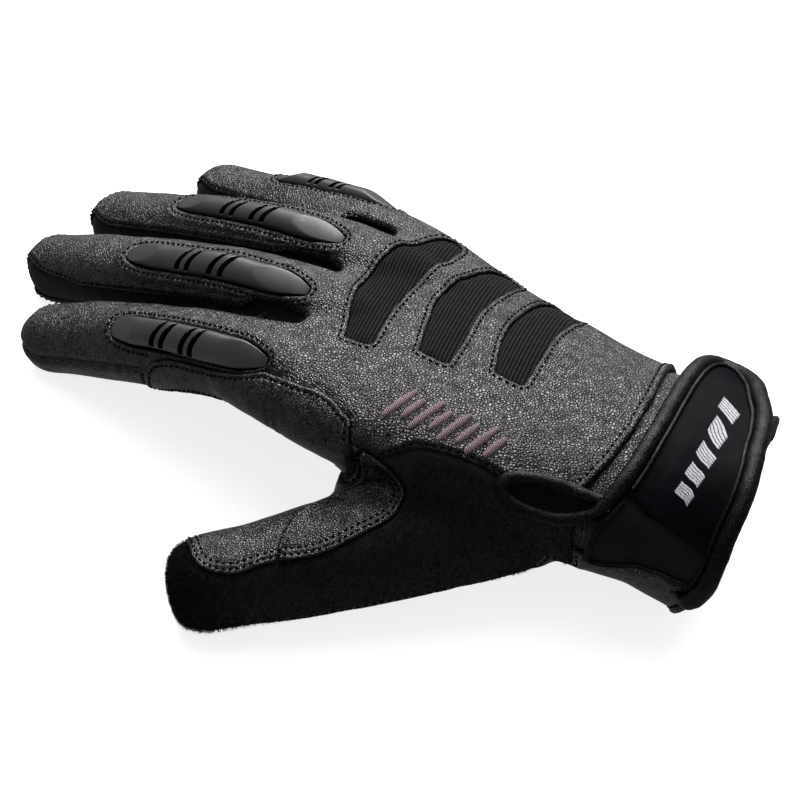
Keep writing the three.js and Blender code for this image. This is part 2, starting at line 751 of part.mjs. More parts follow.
// The closing flap lies on the cuff.
const flapLayer = handLimb(seamGap + flapThickness)
  .subtract(handLimb(seamGap))
  .intersect(flapRegion(0))
  .subtract(flapPipingRoom)
  .subtract(slitBindingRoom);
pieces.set('flap_patch', { body: flapLayer.intersect(flapPatchRegion(0)), look: 'satin' });
pieces.set('flap_body', { body: flapLayer.subtract(flapPatchRegion(seamGap)), look: 'stretch' });
pieces.set('flap_piping', { body: flapPiping, look: 'leather' });
pieces.set('slit_binding', { body: slitBinding.subtract(flapPipingRoom), look: 'leather' });

// The whole glove, centred over its own footprint and standing on z = 0.
const glove = new THREE.Group();
glove.name = 'climbing_glove';
for (const [name, piece] of pieces) {
  glove.add(node(name, piece.body, piece.look));
}
const bounds = new THREE.Box3().setFromObject(glove);
const centre = bounds.getCenter(new THREE.Vector3());
for (const mesh of glove.children) {
  mesh.geometry.translate(-centre.x, -centre.y, -bounds.min.z);
}

export default glove;
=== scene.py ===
"""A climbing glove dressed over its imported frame: leather, ribbed knit, rubber, satin and terry."""

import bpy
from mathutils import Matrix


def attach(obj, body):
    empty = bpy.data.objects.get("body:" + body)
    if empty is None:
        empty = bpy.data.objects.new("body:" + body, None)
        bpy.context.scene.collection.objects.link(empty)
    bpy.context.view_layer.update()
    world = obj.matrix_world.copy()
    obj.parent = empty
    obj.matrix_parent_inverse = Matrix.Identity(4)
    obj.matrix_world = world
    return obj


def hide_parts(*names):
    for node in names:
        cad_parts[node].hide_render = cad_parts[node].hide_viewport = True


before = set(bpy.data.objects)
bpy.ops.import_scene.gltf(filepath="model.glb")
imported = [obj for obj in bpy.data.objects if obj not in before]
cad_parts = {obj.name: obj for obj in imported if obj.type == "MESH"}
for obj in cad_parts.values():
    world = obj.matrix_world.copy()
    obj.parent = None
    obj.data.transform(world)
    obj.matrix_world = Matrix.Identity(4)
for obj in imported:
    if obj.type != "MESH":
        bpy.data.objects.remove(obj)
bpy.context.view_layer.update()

import math
from itertools import product

import bpy
import numpy as np
from mathutils import Vector
from mathutils.bvhtree import BVHTree
from mathutils.kdtree import KDTree

# Millimetres in the glove's own frame: x = 0 at the knuckles, fingers towards -X, thumb
# towards -Y, z = 0 where it rests. FRAME_SHIFT leads from there to the frame of the CAD.
MM = 0.001
FRAME_SHIFT = np.array([12.36, 9.11, 0.0])

# Driving sizes, the same as the CAD's
PALM_LENGTH = 107.0
PALM_HALF_WIDTH = 46.5
PALM_HEIGHT = 39.0
PALM_HALF_DEPTH = 21.0
FINGER_REACH = 126.0
FINGER_HEIGHT = 43.0
FINGER_HALF_WIDTH = 11.7
THUMB_HALF_WIDTH = 16.0
TIP_HEIGHT = 9.5
WALL = 1.5
ROUNDNESS = 2.3
TIP_FULLNESS = 0.52
GUARD_HALF_WIDTH = 3.9
FOURCHETTE_HALF_HEIGHT = 6.0
CUFF_LEAN_ACROSS = -0.12
CUFF_LEAN_UP = 0.12
CUFF_TRIM = 2.5
CUFF_UNDERCUT = 0.35
CUFF_UNDERCUT_BELOW = 28.0
FLAP_THICKNESS = 2.4
FLAP_ROOT_HEIGHT = 0.74
PIPING_RADIUS = 2.5
PIPING_RIB_RADIUS = 0.7
PIPING_END_SUNK = 4.0
SLIT_BINDING_RADIUS = 1.9

# Fineness of the surfaces
VOXEL = 1.05
SEAM_BAND = 3.0
SHORTEST_SPLIT = 0.6
SHORTEST_KNIT_SPLIT = 0.3
SEAM_SMOOTHING = 0.45
SURFACE_SMOOTHING = 0.5
NEAR_LINE = 0.25
FLAP_STEP = 0.6
PATH_PITCH = 0.6
LINING_LEFT_OUT = 0.85

# Height of the lowest leather above the floor, and how softly it settles there
FLOOR_GAP = 0.02
REST_SOFTNESS = 1.2

# along, across, height, half width, half depth as shares of the hand's sizes, roll in degrees
HAND_ROWS = [
    (-0.36, 0.15, 0.94, 0.88, 0.4, -3),
    (-0.33, 0.15, 0.96, 0.95, 0.55, -4),
    (-0.168, 0.11, 1.0, 1.01, 0.72, -6),
    (0.037, 0.043, 0.975, 1.0, 0.86, -9),
    (0.243, 0.022, 0.91, 0.935, 0.93, -10),
    (0.449, 0.032, 0.82, 0.86, 0.976, -8),
    (0.636, 0.065, 0.744, 0.774, 1.0, -4),
    (0.785, 0.108, 0.68, 0.71, 1.024, 0),
    (0.897, 0.097, 0.654, 0.667, 1.2, 0),
    (1.0, 0.065, 0.641, 0.634, 1.33, 0),
    (1.12, 0.06, 0.641, 0.634, 1.34, 0),
]

# root and tip across, reach, height, girth, height of the root
FINGERS = {
    "index": (-0.6, -0.38, 0.861, 1.023, 0.99, 0.87),
    "middle": (-0.086, 0.18, 1.0, 1.046, 1.0, 0.915),
    "ring": (0.409, 0.761, 0.96, 1.0, 1.0, 0.93),
    "little": (0.731, 1.363, 0.794, 0.826, 0.965, 0.93),
}
FINGER_ROOT_ALONG = 0.093

# along, spread, height, half width, half depth
FINGER_BEND = [
    (0, 0, 0, 1.03, 1.05),
    (0.22, 0.18, 1, 1.02, 1.06),
    (0.42, 0.385, 0.9, 1.01, 1.04),
    (0.63, 0.625, 0.68, 0.98, 1.0),
    (0.82, 0.845, 0.445, 0.94, 0.95),
    (1, 1, 0, 0.88, 0.885),
]

# along, across, height, half width, half depth
THUMB_ROWS = [
    (0.58, -0.344, 0.692, 0.81, 0.81),
    (0.449, -0.56, 0.615, 1.0, 0.94),
    (0.28, -0.903, 0.551, 1.0, 0.94),
    (0.131, -1.204, 0.462, 0.94, 0.888),
    (0, -1.455, 0.39, 0.86, 0.83),
    (-0.121, -1.66, 0.325, 0.79, 0.78),
]
# Fillings of the web beside the index finger and of the hollow beside the little one: their
# middle and their reach along x, y and z
FILLINGS = [
    ((12.5, -39.0, 26.5), (8.5, 9.5, 10.0)),
    ((-10.0, 33.0, 39.0), (14.0, 10.0, 11.5)),
]

# across, edge on the fingers' side, edge on the cuff's side
FLEX_PANELS = {
    "flex_panel_knuckle": [
        (-0.35, -0.075, 0.005),
        (-0.02, -0.132, -0.022),
        (0.34, -0.158, -0.03),
        (0.9, -0.105, -0.03),
    ],
    "flex_panel_middle": [
        (-0.25, 0.12, 0.205),
        (0.02, 0.08, 0.19),
        (0.35, 0.045, 0.163),
        (0.87, 0.08, 0.163),
    ],
    "flex_panel_wrist": [
        (-0.14, 0.315, 0.396),
        (0.15, 0.268, 0.38),
        (0.42, 0.25, 0.364),
        (0.83, 0.262, 0.355),
    ],
}

# front and rear along the finger, front and rear across, lean towards the thumb in degrees
GUARDS = {
    "guard_index": ("index", -0.64, -0.184, -0.55, -0.71, 15),
    "guard_middle": ("middle", -0.744, -0.206, 0.045, -0.12, 0),
    "guard_ring": ("ring", -0.76, -0.24, 0.69, 0.44, 0),
    "guard_little": ("little", -0.63, -0.25, 1.36, 1.14, -35),
}
GUARD_RAISED = 0.9
GUARD_ABOVE_SEAM = 2.0
FLEX_ABOVE_SEAM = 3.0
FLEX_CORNER = 0.1
# along, half width
GUARD_OUTLINE = [
    (0, 0.4), (0.05, 0.76), (0.16, 0.98), (0.3, 1), (0.78, 1), (0.92, 0.7), (1, 0.25),
]
GUARD_GAP = 0.4
GUARD_WINDOW_DEPTH = 12.0
GUARD_MARGIN = 0.9

# Plan outlines: along, across
THUMB_PATCH_OUTLINE = [
    (-0.38, -1.15), (-0.29, -1.45), (-0.2, -1.67), (-0.13, -1.79), (-0.041, -1.745),
    (0.025, -1.613), (0.129, -1.452), (0.2, -1.258), (0.25, -1.09), (0.255, -0.957),
    (0.262, -0.73), (0.04, -0.73), (0.04, -0.9),
]
THUMB_BACK_OUTLINE = [
    (0.11, -0.95), (-0.56, -1.25), (-0.56, -2.6), (0.56, -2.6), (0.665, -1.3),
    (0.665, -0.66), (0.6, -0.7), (0.486, -0.72), (0.411, -0.73), (0.262, -0.806),
]
HEM_LINE = [
    (0.64, 1.4), (0.645, 0.66), (0.676, 0.3), (0.69, -0.04), (0.685, -0.3), (0.67, -0.46),
    (0.645, -0.6), (0.63, -1.4),
]
FLAP_PATCH_LINE = [(0.6, -0.45), (0.8, -0.48), (1.0, -0.56), (1.2, -0.58)]

# Side outlines: along, height
UNDER_THUMB_LINE = [
    (-0.56, 0.04), (-0.14, 0.08), (0.047, 0.155), (0.28, 0.31), (0.467, 0.36), (0.75, 0.36),
]
THUMB_PATCH_TOP = [
    (-0.56, 1.22), (0.084, 1.22), (0.14, 1.19), (0.187, 1.14), (0.234, 1.01), (0.27, 0.85),
]
SIDE_PATCH_OUTLINE = [
    (-0.607, 0.5), (-0.44, 0.78), (-0.187, 0.9), (0.081, 0.86), (0.081, 1.29), (0.047, 1.36),
    (-0.035, 1.395), (-0.185, 1.354), (-0.27, 1.29), (-0.44, 1.11), (-0.57, 0.92),
    (-0.607, 0.74),
]
# along, across
SIDE_PATCH_INNER = [(-0.6, -0.6), (-0.447, -0.64), (-0.276, -0.72), (-0.1, -0.76), (0.08, -0.72)]

# Grooves between the fingers: the two fingers, the end along the hand, the shift across there
GROOVES = [
    ("index", "middle", -23.0, 0.0),
    ("middle", "ring", -26.5, 0.0),
    ("ring", "little", -24.0, 5.0),
]
GROOVE_DEPTH = 4.0
GROOVE_HALF_WIDTH = 2.6
GROOVE_LENGTH = 24.0
GROOVE_SHIFT_START, GROOVE_SHIFT_STOP = -70.0, -32.0
FOURCHETTE_INSET = 0.4
FOURCHETTE_RISE = 18.0
FOURCHETTE_HALF_WIDTH = 12.0
FOURCHETTE_NARROWING = 9.8
FOURCHETTE_NARROWS = (-66.0, -44.0)

# Rolled edges on the hand: along, turn in degrees from the little finger's side (0) over
# the back (90) to the thumb's side (180)
FLAP_PIPING_PATH = [
    (0.645, 154), (0.66, 146), (0.676, 133), (0.69, 119), (0.7, 103), (0.71, 87), (0.722, 66),
    (0.738, 50), (0.768, 39), (0.806, 39), (0.848, 49), (0.892, 62), (0.943, 76), (0.992, 90),
    (1.023, 104), (1.038, 120), (1.038, 140), (1.035, 158), (1.025, 170), (1.008, 178.5),
    (0.985, 184), (0.96, 187),
]
SLIT_BINDING_PATH = [
    (0.662, 148), (0.64, 155), (0.595, 163), (0.54, 166.5), (0.487, 166), (0.45, 162),
    (0.441, 156), (0.462, 150), (0.515, 145.5), (0.565, 144), (0.615, 144), (0.662, 143),
]


# Small helpers for rows, outlines and curves

def unit(vectors):
    length = np.linalg.norm(vectors, axis=-1, keepdims=True)
    return vectors / np.maximum(length, 1e-9)


def smooth_rows(rows, steps):
    """Rows on a smooth curve through the given ones, each gap cut into steps."""
    p = np.array(rows, float)
    p = np.vstack([2 * p[0] - p[1], p, 2 * p[-1] - p[-2]])
    t = np.linspace(0, 1, steps, endpoint=False)[:, None]
    pieces = []
    for i in range(1, len(p) - 2):
        a, b, c, d = p[i - 1:i + 3]
        square = (2 * a - 5 * b + 4 * c - d) * t**2
        cube = (3 * b - a - 3 * c + d) * t**3
        pieces.append(0.5 * (2 * b + (c - a) * t + square + cube))
    pieces.append(p[-2:-1])
    return np.vstack(pieces)


def closed_curve(rows, steps):
    """A smooth closed curve through the rows."""
    p = np.array(rows, float)
    ring = np.vstack([p[-1], p, p[0], p[1]])
    return smooth_rows(ring, steps)[steps:-steps - 1]


def rounded(values):
    return np.sign(values) * np.abs(values) ** (2 / ROUNDNESS)


def smoothstep(low, high, values):
    t = np.clip((values - low) / (high - low), 0, 1)
    return t * t * (3 - 2 * t)


def soft_min(first, second, softness=1.0):
    """The smaller of two distances, rounded where they are alike."""
    gap = np.clip(0.5 + 0.5 * (second - first) / softness, 0, 1)
    return second + (first - second) * gap - softness * gap * (1 - gap)


def noise(points, size, seed):
    """Smooth noise between -1 and 1, with features of the given size."""
    scaled = points / size + 31.7 * seed
    cell = np.floor(scaled).astype(np.int64)
    part = scaled - cell
    part = part * part * (3 - 2 * part)
    total = np.zeros(len(points))
    for corner in product((0, 1), repeat=3):
        x, y, z = (cell + corner).T
        mixed = (x * 73856093) ^ (y * 19349663) ^ (z * 83492791)
        mixed = (mixed * 2654435761) & 0xFFFFFFFF
        mixed = ((mixed ^ (mixed >> 15)) * 2246822519) & 0xFFFFFFFF
        value = (mixed >> 8 & 0xFFFF) / 32767.5 - 1
        weight = np.prod(np.where(corner, part, 1 - part), axis=1)
        total += weight * value
    return total


def along_axis(rows, column):
    """Values of one column against along, in millimetres, sorted by along."""
    order = np.argsort(rows[:, 0])
    return rows[order, 0], rows[order, column]


def columns_at(where, known, table, count=3):
    """The first columns of a table at new places, between the places known for its rows."""
    return np.stack([np.interp(where, known, table[:, k]) for k in range(count)], 1)


def evened(rows, rounds):
    """The rows with their small unevenness smoothed away and the ends kept."""
    rows = rows.copy()
    for _ in range(rounds):
        rows[1:-1] = (rows[:-2] + 2 * rows[1:-1] + rows[2:]) / 4
    return rows


def ridge(distance, height, middle, half_width):
    """A rounded ridge along a line, or a groove where the height is less than zero."""
    return height * np.exp(-((distance - middle) / half_width) ** 2)


def point_tree(spots):
    tree = KDTree(len(spots))
    for i, spot in enumerate(spots):
        tree.insert(spot, i)
    tree.balance()
    return tree


# Limbs of the glove

PATH_STEPS = 8


def hand_path():
    rows = np.array(HAND_ROWS, float)
    scale = [PALM_LENGTH, PALM_HALF_WIDTH, PALM_HEIGHT, PALM_HALF_WIDTH, PALM_HALF_DEPTH, 1]
    return smooth_rows(rows * scale, PATH_STEPS)


def thumb_path():
    rows = np.array([row + (0,) for row in THUMB_ROWS], float)
    scale = [PALM_LENGTH, PALM_HALF_WIDTH, PALM_HEIGHT, THUMB_HALF_WIDTH, THUMB_HALF_WIDTH, 1]
    return smooth_rows(rows * scale, PATH_STEPS)


def finger_path(name):
    root, tip, reach, height, girth, root_height = FINGERS[name]
    start = FINGER_ROOT_ALONG * PALM_LENGTH
    end = -reach * FINGER_REACH
    top = height * FINGER_HEIGHT
    rows = []
    for along, spread, level, half_width, half_depth in FINGER_BEND:
        rows.append((
            start + along * (end - start),
            PALM_HALF_WIDTH * (root + spread * (tip - root)),
            top * level,
            half_width * girth * FINGER_HALF_WIDTH,
            half_depth * girth * FINGER_HALF_WIDTH,
            0,
        ))
    rows[0] = rows[0][:2] + (top * root_height,) + rows[0][3:]
    rows[-1] = rows[-1][:2] + (TIP_HEIGHT,) + rows[-1][3:]
    return smooth_rows(rows, PATH_STEPS)


def directions(path):
    """Headings along the centres of a path."""
    centres = path[:, :3]
    ahead = np.vstack([centres[1:], centres[-1:]])
    behind = np.vstack([centres[:1], centres[:-1]])
    return unit(ahead - behind)


def section_points(rows, heading, angles, offset=0.0, squeeze=1.0):
    """Points of the rounded sections across the headings, one angle for each row."""
    side = unit(np.cross([0, 0, 1.0], heading))
    up = np.cross(heading, side)
    roll = np.radians(rows[:, 5:6])
    turned_side = side * np.cos(roll) + up * np.sin(roll)
    turned_up = up * np.cos(roll) - side * np.sin(roll)
    across = rounded(np.cos(angles)) * squeeze * (rows[:, 3] + offset)
    height = rounded(np.sin(angles)) * squeeze * (rows[:, 4] + offset)
    return rows[:, :3] + turned_side * across[:, None] + turned_up * height[:, None]


HAND_SEGMENTS = 120
FINGER_SEGMENTS = 72
BALL_SEGMENTS = 36
TIP_SECTIONS = 12


def loft(path, segments, tip_fullness=None):
    """A closed tube through the sections of a path, with a rounded tip if asked."""
    rows = path
    heading = directions(path)
    squeeze = np.ones(len(rows))
    if tip_fullness is not None:
        angles = np.linspace(0, 0.49 * math.pi, TIP_SECTIONS)[1:]
        last = rows[-1]
        extra = np.repeat(last[None], len(angles), axis=0)
        extra[:, :3] += heading[-1] * last[3] * np.sin(angles)[:, None]
        rows = np.vstack([rows, extra])
        heading = np.vstack([heading, np.repeat(heading[-1:], len(angles), axis=0)])
        squeeze = np.concatenate([squeeze, np.cos(angles) ** tip_fullness])
    turn = 2 * math.pi * np.arange(segments) / segments
    count = len(rows)
    every = section_points(
        np.repeat(rows, segments, axis=0),
        np.repeat(heading, segments, axis=0),
        np.tile(turn, count),
        squeeze=np.repeat(squeeze, segments),
    )
    return tube_mesh(every.reshape(count, segments, 3))


def ball(centre, reach):
    """A closed ellipsoid."""
    rise = np.linspace(-0.49 * math.pi, 0.49 * math.pi, BALL_SEGMENTS // 2)
    turn = 2 * math.pi * np.arange(BALL_SEGMENTS) / BALL_SEGMENTS
    rise_grid, turn_grid = np.meshgrid(rise, turn, indexing="ij")
    rings = np.stack([
        np.cos(rise_grid) * np.cos(turn_grid),
        np.cos(rise_grid) * np.sin(turn_grid),
        np.sin(rise_grid),
    ], -1)
    return tube_mesh(np.array(centre) + rings * reach)


def tube_mesh(rings):
    """Vertices and triangles of a closed tube through rings."""
    count, segments = rings.shape[:2]
    points = np.vstack([rings.reshape(-1, 3), rings[0].mean(0), rings[-1].mean(0)])
    i, j = np.meshgrid(np.arange(count - 1), np.arange(segments), indexing="ij")
    a = (i * segments + j).ravel()
    b = (i * segments + (j + 1) % segments).ravel()
    first = count * segments
    j = np.arange(segments)
    k = (j + 1) % segments
    last = (count - 1) * segments
    faces = np.vstack([
        np.stack([a, b, a + segments], 1),
        np.stack([b, b + segments, a + segments], 1),
        np.stack([np.full(segments, first), k, j], 1),
        np.stack([np.full(segments, first + 1), last + j, last + k], 1),
    ])
    return points, faces


# Triangle surfaces with a label on every triangle

def edges_of(triangles):
    """The sorted ends of each triangle's three edges."""
    ends = np.stack([triangles, np.roll(triangles, -1, axis=1)], axis=-1)
    return np.sort(ends, axis=-1)


def edge_keys(triangles, count):
    ends = edges_of(triangles)
    return ends[..., 0] * count + ends[..., 1]


def unique_edges(triangles, count):
    """The key and the two ends of each edge."""
    keys = np.unique(edge_keys(triangles, count))
    return keys, keys // count, keys % count


def grid_faces(rows, columns):
    """Two triangles for each cell of a grid of points."""
    number = np.arange(rows * columns).reshape(rows, columns)
    a, b = number[:-1, :-1].ravel(), number[1:, :-1].ravel()
    c, d = number[1:, 1:].ravel(), number[:-1, 1:].ravel()
    return np.vstack([np.stack([a, b, c], 1), np.stack([a, c, d], 1)])


def split_edges(points, triangles, labels, keys, new_points):
    """Puts new_points on the edges with the sorted keys and splits the triangles there."""
    count = len(points)
    own = edge_keys(triangles, count)
    spot = np.clip(np.searchsorted(keys, own), 0, len(keys) - 1)
    middle = np.where(keys[spot] == own, count + spot, -1)
    points = np.vstack([points, new_points])
    number = (middle >= 0).sum(1)

    def turned(chosen, first):
        order = (first[:, None] + np.arange(3)) % 3
        corners = np.take_along_axis(triangles[chosen], order, 1)
        middles = np.take_along_axis(middle[chosen], order, 1)
        return (*corners.T, *middles.T)

    faces = [triangles[number == 0]]
    names = [labels[number == 0]]
    one = number == 1
    a, b, c, m, _, _ = turned(one, np.argmax(middle[one] >= 0, axis=1))
    faces += [np.stack([a, m, c], 1), np.stack([m, b, c], 1)]
    names += [labels[one]] * 2
    two = number == 2
    a, b, c, m, n, _ = turned(two, (np.argmin(middle[two], axis=1) + 1) % 3)
    faces += [np.stack([m, b, n], 1), np.stack([a, m, n], 1), np.stack([a, n, c], 1)]
    names += [labels[two]] * 3
    three = number == 3
    a, b, c, m, n, k = turned(three, np.zeros(three.sum(), int))
    faces += [np.stack([a, m, k], 1), np.stack([m, b, n], 1)]
    faces += [np.stack([k, n, c], 1), np.stack([m, n, k], 1)]
    names += [labels[three]] * 4
    return points, np.vstack(faces), np.concatenate(names)


def cut_out(surface, field, label):
    """Gives the label to what is still unlabelled where the field is over zero."""
    points, triangles, labels, fixed = surface
    value = field(points)
    loose = np.zeros(len(points), bool)
    loose[triangles[labels == ""].ravel()] = True
    value = np.where(loose, value, -1.0)
    _, a, b = unique_edges(triangles, len(points))
    crossing = value[a] * value[b] < 0
    a, b = a[crossing], b[crossing]
    share = value[a] / (value[a] - value[b])
    # A vertex very near the line moves onto it, unless it lies on an older line
    for end, near in ((a, share < NEAR_LINE), (b, share > 1 - NEAR_LINE)):
        moved = near & ~fixed[end] & loose[a] & loose[b]
        target = points[a] + (points[b] - points[a]) * share[:, None]
        points[end[moved]] = target[moved]
        value[end[moved]] = 0.0
    value[np.abs(value) < 1e-6] = 0.0
    crossing = (value[a] * value[b] < 0) & loose[a] & loose[b]
    a, b = a[crossing], b[crossing]
    share = (value[a] / (value[a] - value[b]))[:, None]
    fixed[value == 0.0] = True
    if len(a):
        keys = a * len(points) + b
        between = points[a] + (points[b] - points[a]) * share
        points, triangles, labels = split_edges(points, triangles, labels, keys, between)
        value = np.concatenate([value, np.zeros(len(a))])
        fixed = np.concatenate([fixed, np.ones(len(a), bool)])
    inside = value[triangles].sum(1) > 0
    labels = np.where((labels == "") & inside, label, labels)
    return points, triangles, labels, fixed


def halved(points, triangles, labels, chosen, shortest):
    """Splits edges at their middles where both ends are chosen, unless they are very short."""
    keys, a, b = unique_edges(triangles, len(points))
    length = np.linalg.norm(points[a] - points[b], axis=1)
    wanted = chosen[a] & chosen[b] & (length > shortest)
    middles = (points[a[wanted]] + points[b[wanted]]) / 2
    return split_edges(points, triangles, labels, keys[wanted], middles)


def near_borders(points, triangles, labels, reach):
    """Which points lie within reach of a place where two labels meet."""
    owner, edge, _ = border_edges(triangles, labels, len(points))
    tree = point_tree(points[np.unique(triangles[owner, edge])])
    return np.array([tree.find(point)[2] < reach for point in points])


def fine_surface(points, triangles, labels, finest):
    """The surface with short edges along its seams and in the finest spots, smoothed again."""
    close = near_borders(points, triangles, labels, SEAM_BAND)
    fine = finest(points, triangles, labels)
    points, triangles, labels = halved(points, triangles, labels, close | fine, SHORTEST_SPLIT)
    fine = finest(points, triangles, labels)
    points, triangles, labels = halved(points, triangles, labels, fine, SHORTEST_KNIT_SPLIT)
    owner, edge, _ = border_edges(triangles, labels, len(points))
    seams = np.stack([triangles[owner, edge], triangles[owner, (edge + 1) % 3]], 1)
    seams = np.unique(np.sort(seams, axis=1), axis=0)
    on_seam = np.zeros(len(points))
    on_seam[seams.ravel()] = 1.0
    points = relax(points, seams, SEAM_SMOOTHING * on_seam, 6)
    _, a, b = unique_edges(triangles, len(points))
    points = relax(points, np.stack([a, b], 1), SURFACE_SMOOTHING * (1 - on_seam), 4)
    return points, triangles, labels


def vertex_normals(points, triangles):
    a, b, c = (points[triangles[:, k]] for k in range(3))
    face = np.cross(b - a, c - a)
    normals = np.zeros_like(points)
    for k, axis in product(range(3), range(3)):
        normals[:, axis] += np.bincount(triangles[:, k], face[:, axis], len(points))
    return unit(normals)


def relax(points, edges, weight, rounds, undo=0.0):
    """Moves points towards the middle of their neighbours, by weight.

    With undo, every second round moves them back by so much of the weight, which keeps the
    volume.
    """
    ends = np.vstack([edges, edges[:, ::-1]])
    number = np.bincount(ends[:, 0], minlength=len(points))[:, None]
    for step in range(rounds):
        total = np.zeros_like(points)
        for axis in range(3):
            total[:, axis] = np.bincount(ends[:, 0], points[ends[:, 1], axis], len(points))
        strength = weight if step % 2 == 0 or undo == 0 else -undo * weight
        points = points + np.reshape(strength, (-1, 1)) * (total / np.maximum(number, 1) - points)
    return points


def border_edges(triangles, labels, count):
    """Edges where two labels meet or the surface ends: triangle, its edge and the other label."""
    keys = edge_keys(triangles, count).ravel()
    order = np.argsort(keys, kind="stable")
    ranked = keys[order]
    same = np.zeros(len(keys), bool)
    same[:-1] = ranked[:-1] == ranked[1:]
    partner = np.full(len(keys), -1)
    first = order[:-1][same[:-1]]
    second = order[1:][same[:-1]]
    partner[first] = second
    partner[second] = first
    owner = np.repeat(np.arange(len(triangles)), 3)
    other = np.where(partner >= 0, labels[owner[partner]], "open")
    at_border = other != labels[owner]
    edge = np.arange(len(keys)) % 3
    return owner[at_border], edge[at_border], other[at_border]


class Piece:
    """One labelled part of a surface, with the distance of each point from its border."""

    def __init__(self, name, points, normals, triangles, labels, borders):
        owner, edge, other = borders
        mine = labels == name
        used = np.unique(triangles[mine])
        number = np.full(len(points), -1)
        number[used] = np.arange(len(used))
        self.name = name
        self.points = points[used].copy()
        self.base = self.points.copy()
        self.normals = normals[used].copy()
        self.triangles = number[triangles[mine]]
        ours = mine[owner]
        tri = triangles[owner[ours]]
        step = edge[ours]
        start = tri[np.arange(len(tri)), step]
        end = tri[np.arange(len(tri)), (step + 1) % 3]
        self.rim = np.stack([number[start], number[end]], 1)
        self.neighbours = other[ours]
        self.measure()

    def measure(self):
        """Distance of each point to the border, and the piece beyond it there."""
        ends = self.base[self.rim]
        spots = np.vstack([ends[:, 0], ends.mean(1)])
        names = np.concatenate([self.neighbours, self.neighbours])
        tree = point_tree(spots)
        self.distance = np.empty(len(self.base))
        nearest = np.zeros(len(self.base), int)
        for i, point in enumerate(self.base):
            _, nearest[i], self.distance[i] = tree.find(point)
        self.beyond = names[nearest]
        self.distance[self.rim.ravel()] = 0.0

    def beside(self, *prefixes):
        """Which points have one of the named pieces beyond their nearest border."""
        return np.array([name.startswith(prefixes) for name in self.beyond])

    def raise_by(self, amount):
        self.points += self.normals * np.reshape(amount, (-1, 1))

    def tidy_normals(self):
        self.normals = vertex_normals(self.points, self.triangles)

    def shell(self, thickness):
        """A closed shell: the outer face, the same moved in, and the rim between them."""
        count = len(self.points)
        inner = self.points - self.normals * thickness
        a, b = self.rim.T
        faces = np.vstack([
            self.triangles,
            self.triangles[:, ::-1] + count,
            np.stack([b, a, a + count], 1),
            np.stack([b, a + count, b + count], 1),
        ])
        kind = np.zeros(len(faces), int)
        kind[len(self.triangles):2 * len(self.triangles)] = 1
        return np.vstack([self.points, inner]), faces, kind


def contour(piece, values, level, allowed):
    """Lines on a piece where the values reach the level, as lists of points with normals."""
    v = values - level
    tri = piece.triangles
    tri = tri[allowed[tri].all(1)]
    sign = v[tri] > 0
    tri = tri[sign.any(1) & ~sign.all(1)]
    links = {}
    places = {}
    for corners in tri:
        found = []
        for k in range(3):
            a, b = sorted((int(corners[k]), int(corners[(k + 1) % 3])))
            if (v[a] > 0) != (v[b] > 0):
                share = v[a] / (v[a] - v[b])
                found.append((a, b))
                place = piece.points[a] + (piece.points[b] - piece.points[a]) * share
                normal = piece.normals[a] + (piece.normals[b] - piece.normals[a]) * share
                places[(a, b)] = np.concatenate([place, normal])
        if len(found) == 2:
            links.setdefault(found[0], []).append(found[1])
            links.setdefault(found[1], []).append(found[0])
    lines = []
    seen = set()
    starts = sorted(links, key=lambda key: len(links[key]))
    for start in starts:
        if start in seen:
            continue
        line = [start]
        seen.add(start)
        current = start
        while True:
            following = [key for key in links[current] if key not in seen]
            if not following:
                break
            current = following[0]
            seen.add(current)
            line.append(current)
        if len(line) > 3 and start in links[current]:
            line.append(start)
        lines.append(np.array([places[key] for key in line]))
    return lines


def travelled_along(centres):
    """The way along a line from its start to each of its points."""
    step = np.linalg.norm(np.diff(centres, axis=0), axis=1)
    return np.concatenate([[0], np.cumsum(step)])


def spaced(line, pitch):
    """Places at an even pitch along a line: centre, direction and normal."""
    travelled = travelled_along(line[:, :3])
    number = int(travelled[-1] / pitch)
    if number < 2:
        return None
    at = (np.arange(number) + 0.5) * travelled[-1] / number
    centre = columns_at(at, travelled, line, 6)
    ahead = columns_at(np.minimum(at + 0.3 * pitch, travelled[-1]), travelled, line)
    behind = columns_at(np.maximum(at - 0.3 * pitch, 0), travelled, line)
    return centre[:, :3], unit(ahead - behind), unit(centre[:, 3:])


# Making objects

def to_frame(points):
    return (points + FRAME_SHIFT) * MM


def placed(name, data):
    obj = bpy.data.objects.new(name, data)
    bpy.context.scene.collection.objects.link(obj)
    return obj


def final_mesh(obj):
    """An object's mesh as its modifiers leave it."""
    graph = bpy.context.evaluated_depsgraph_get()
    return bpy.data.meshes.new_from_object(obj.evaluated_get(graph))


def make_object(name, points, faces, materials, slot, replaces=(), kinds=None, smooth=True):
    """A mesh object in the frame of the CAD, from points in millimetres."""
    mesh = bpy.data.meshes.new(name)
    mesh.vertices.add(len(points))
    mesh.vertices.foreach_set("co", to_frame(points).ravel())
    mesh.loops.add(3 * len(faces))
    mesh.loops.foreach_set("vertex_index", np.ascontiguousarray(faces).ravel())
    mesh.polygons.add(len(faces))
    mesh.polygons.foreach_set("loop_start", np.arange(0, 3 * len(faces), 3))
    for material in materials:
        mesh.materials.append(material)
    if kinds is not None:
        mesh.polygons.foreach_set("material_index", kinds)
    mesh.update(calc_edges=True)
    if smooth:
        mesh.shade_smooth()
    obj = placed(name, mesh)
    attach(obj, "root")
    if replaces:
        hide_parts(*replaces)
    return obj


def joined(parts):
    """Several meshes as one, from a list of (points, faces)."""
    points = []
    faces = []
    total = 0
    for some_points, some_faces in parts:
        points.append(some_points)
        faces.append(some_faces + total)
        total += len(some_points)
    return np.vstack(points), np.vstack(faces)


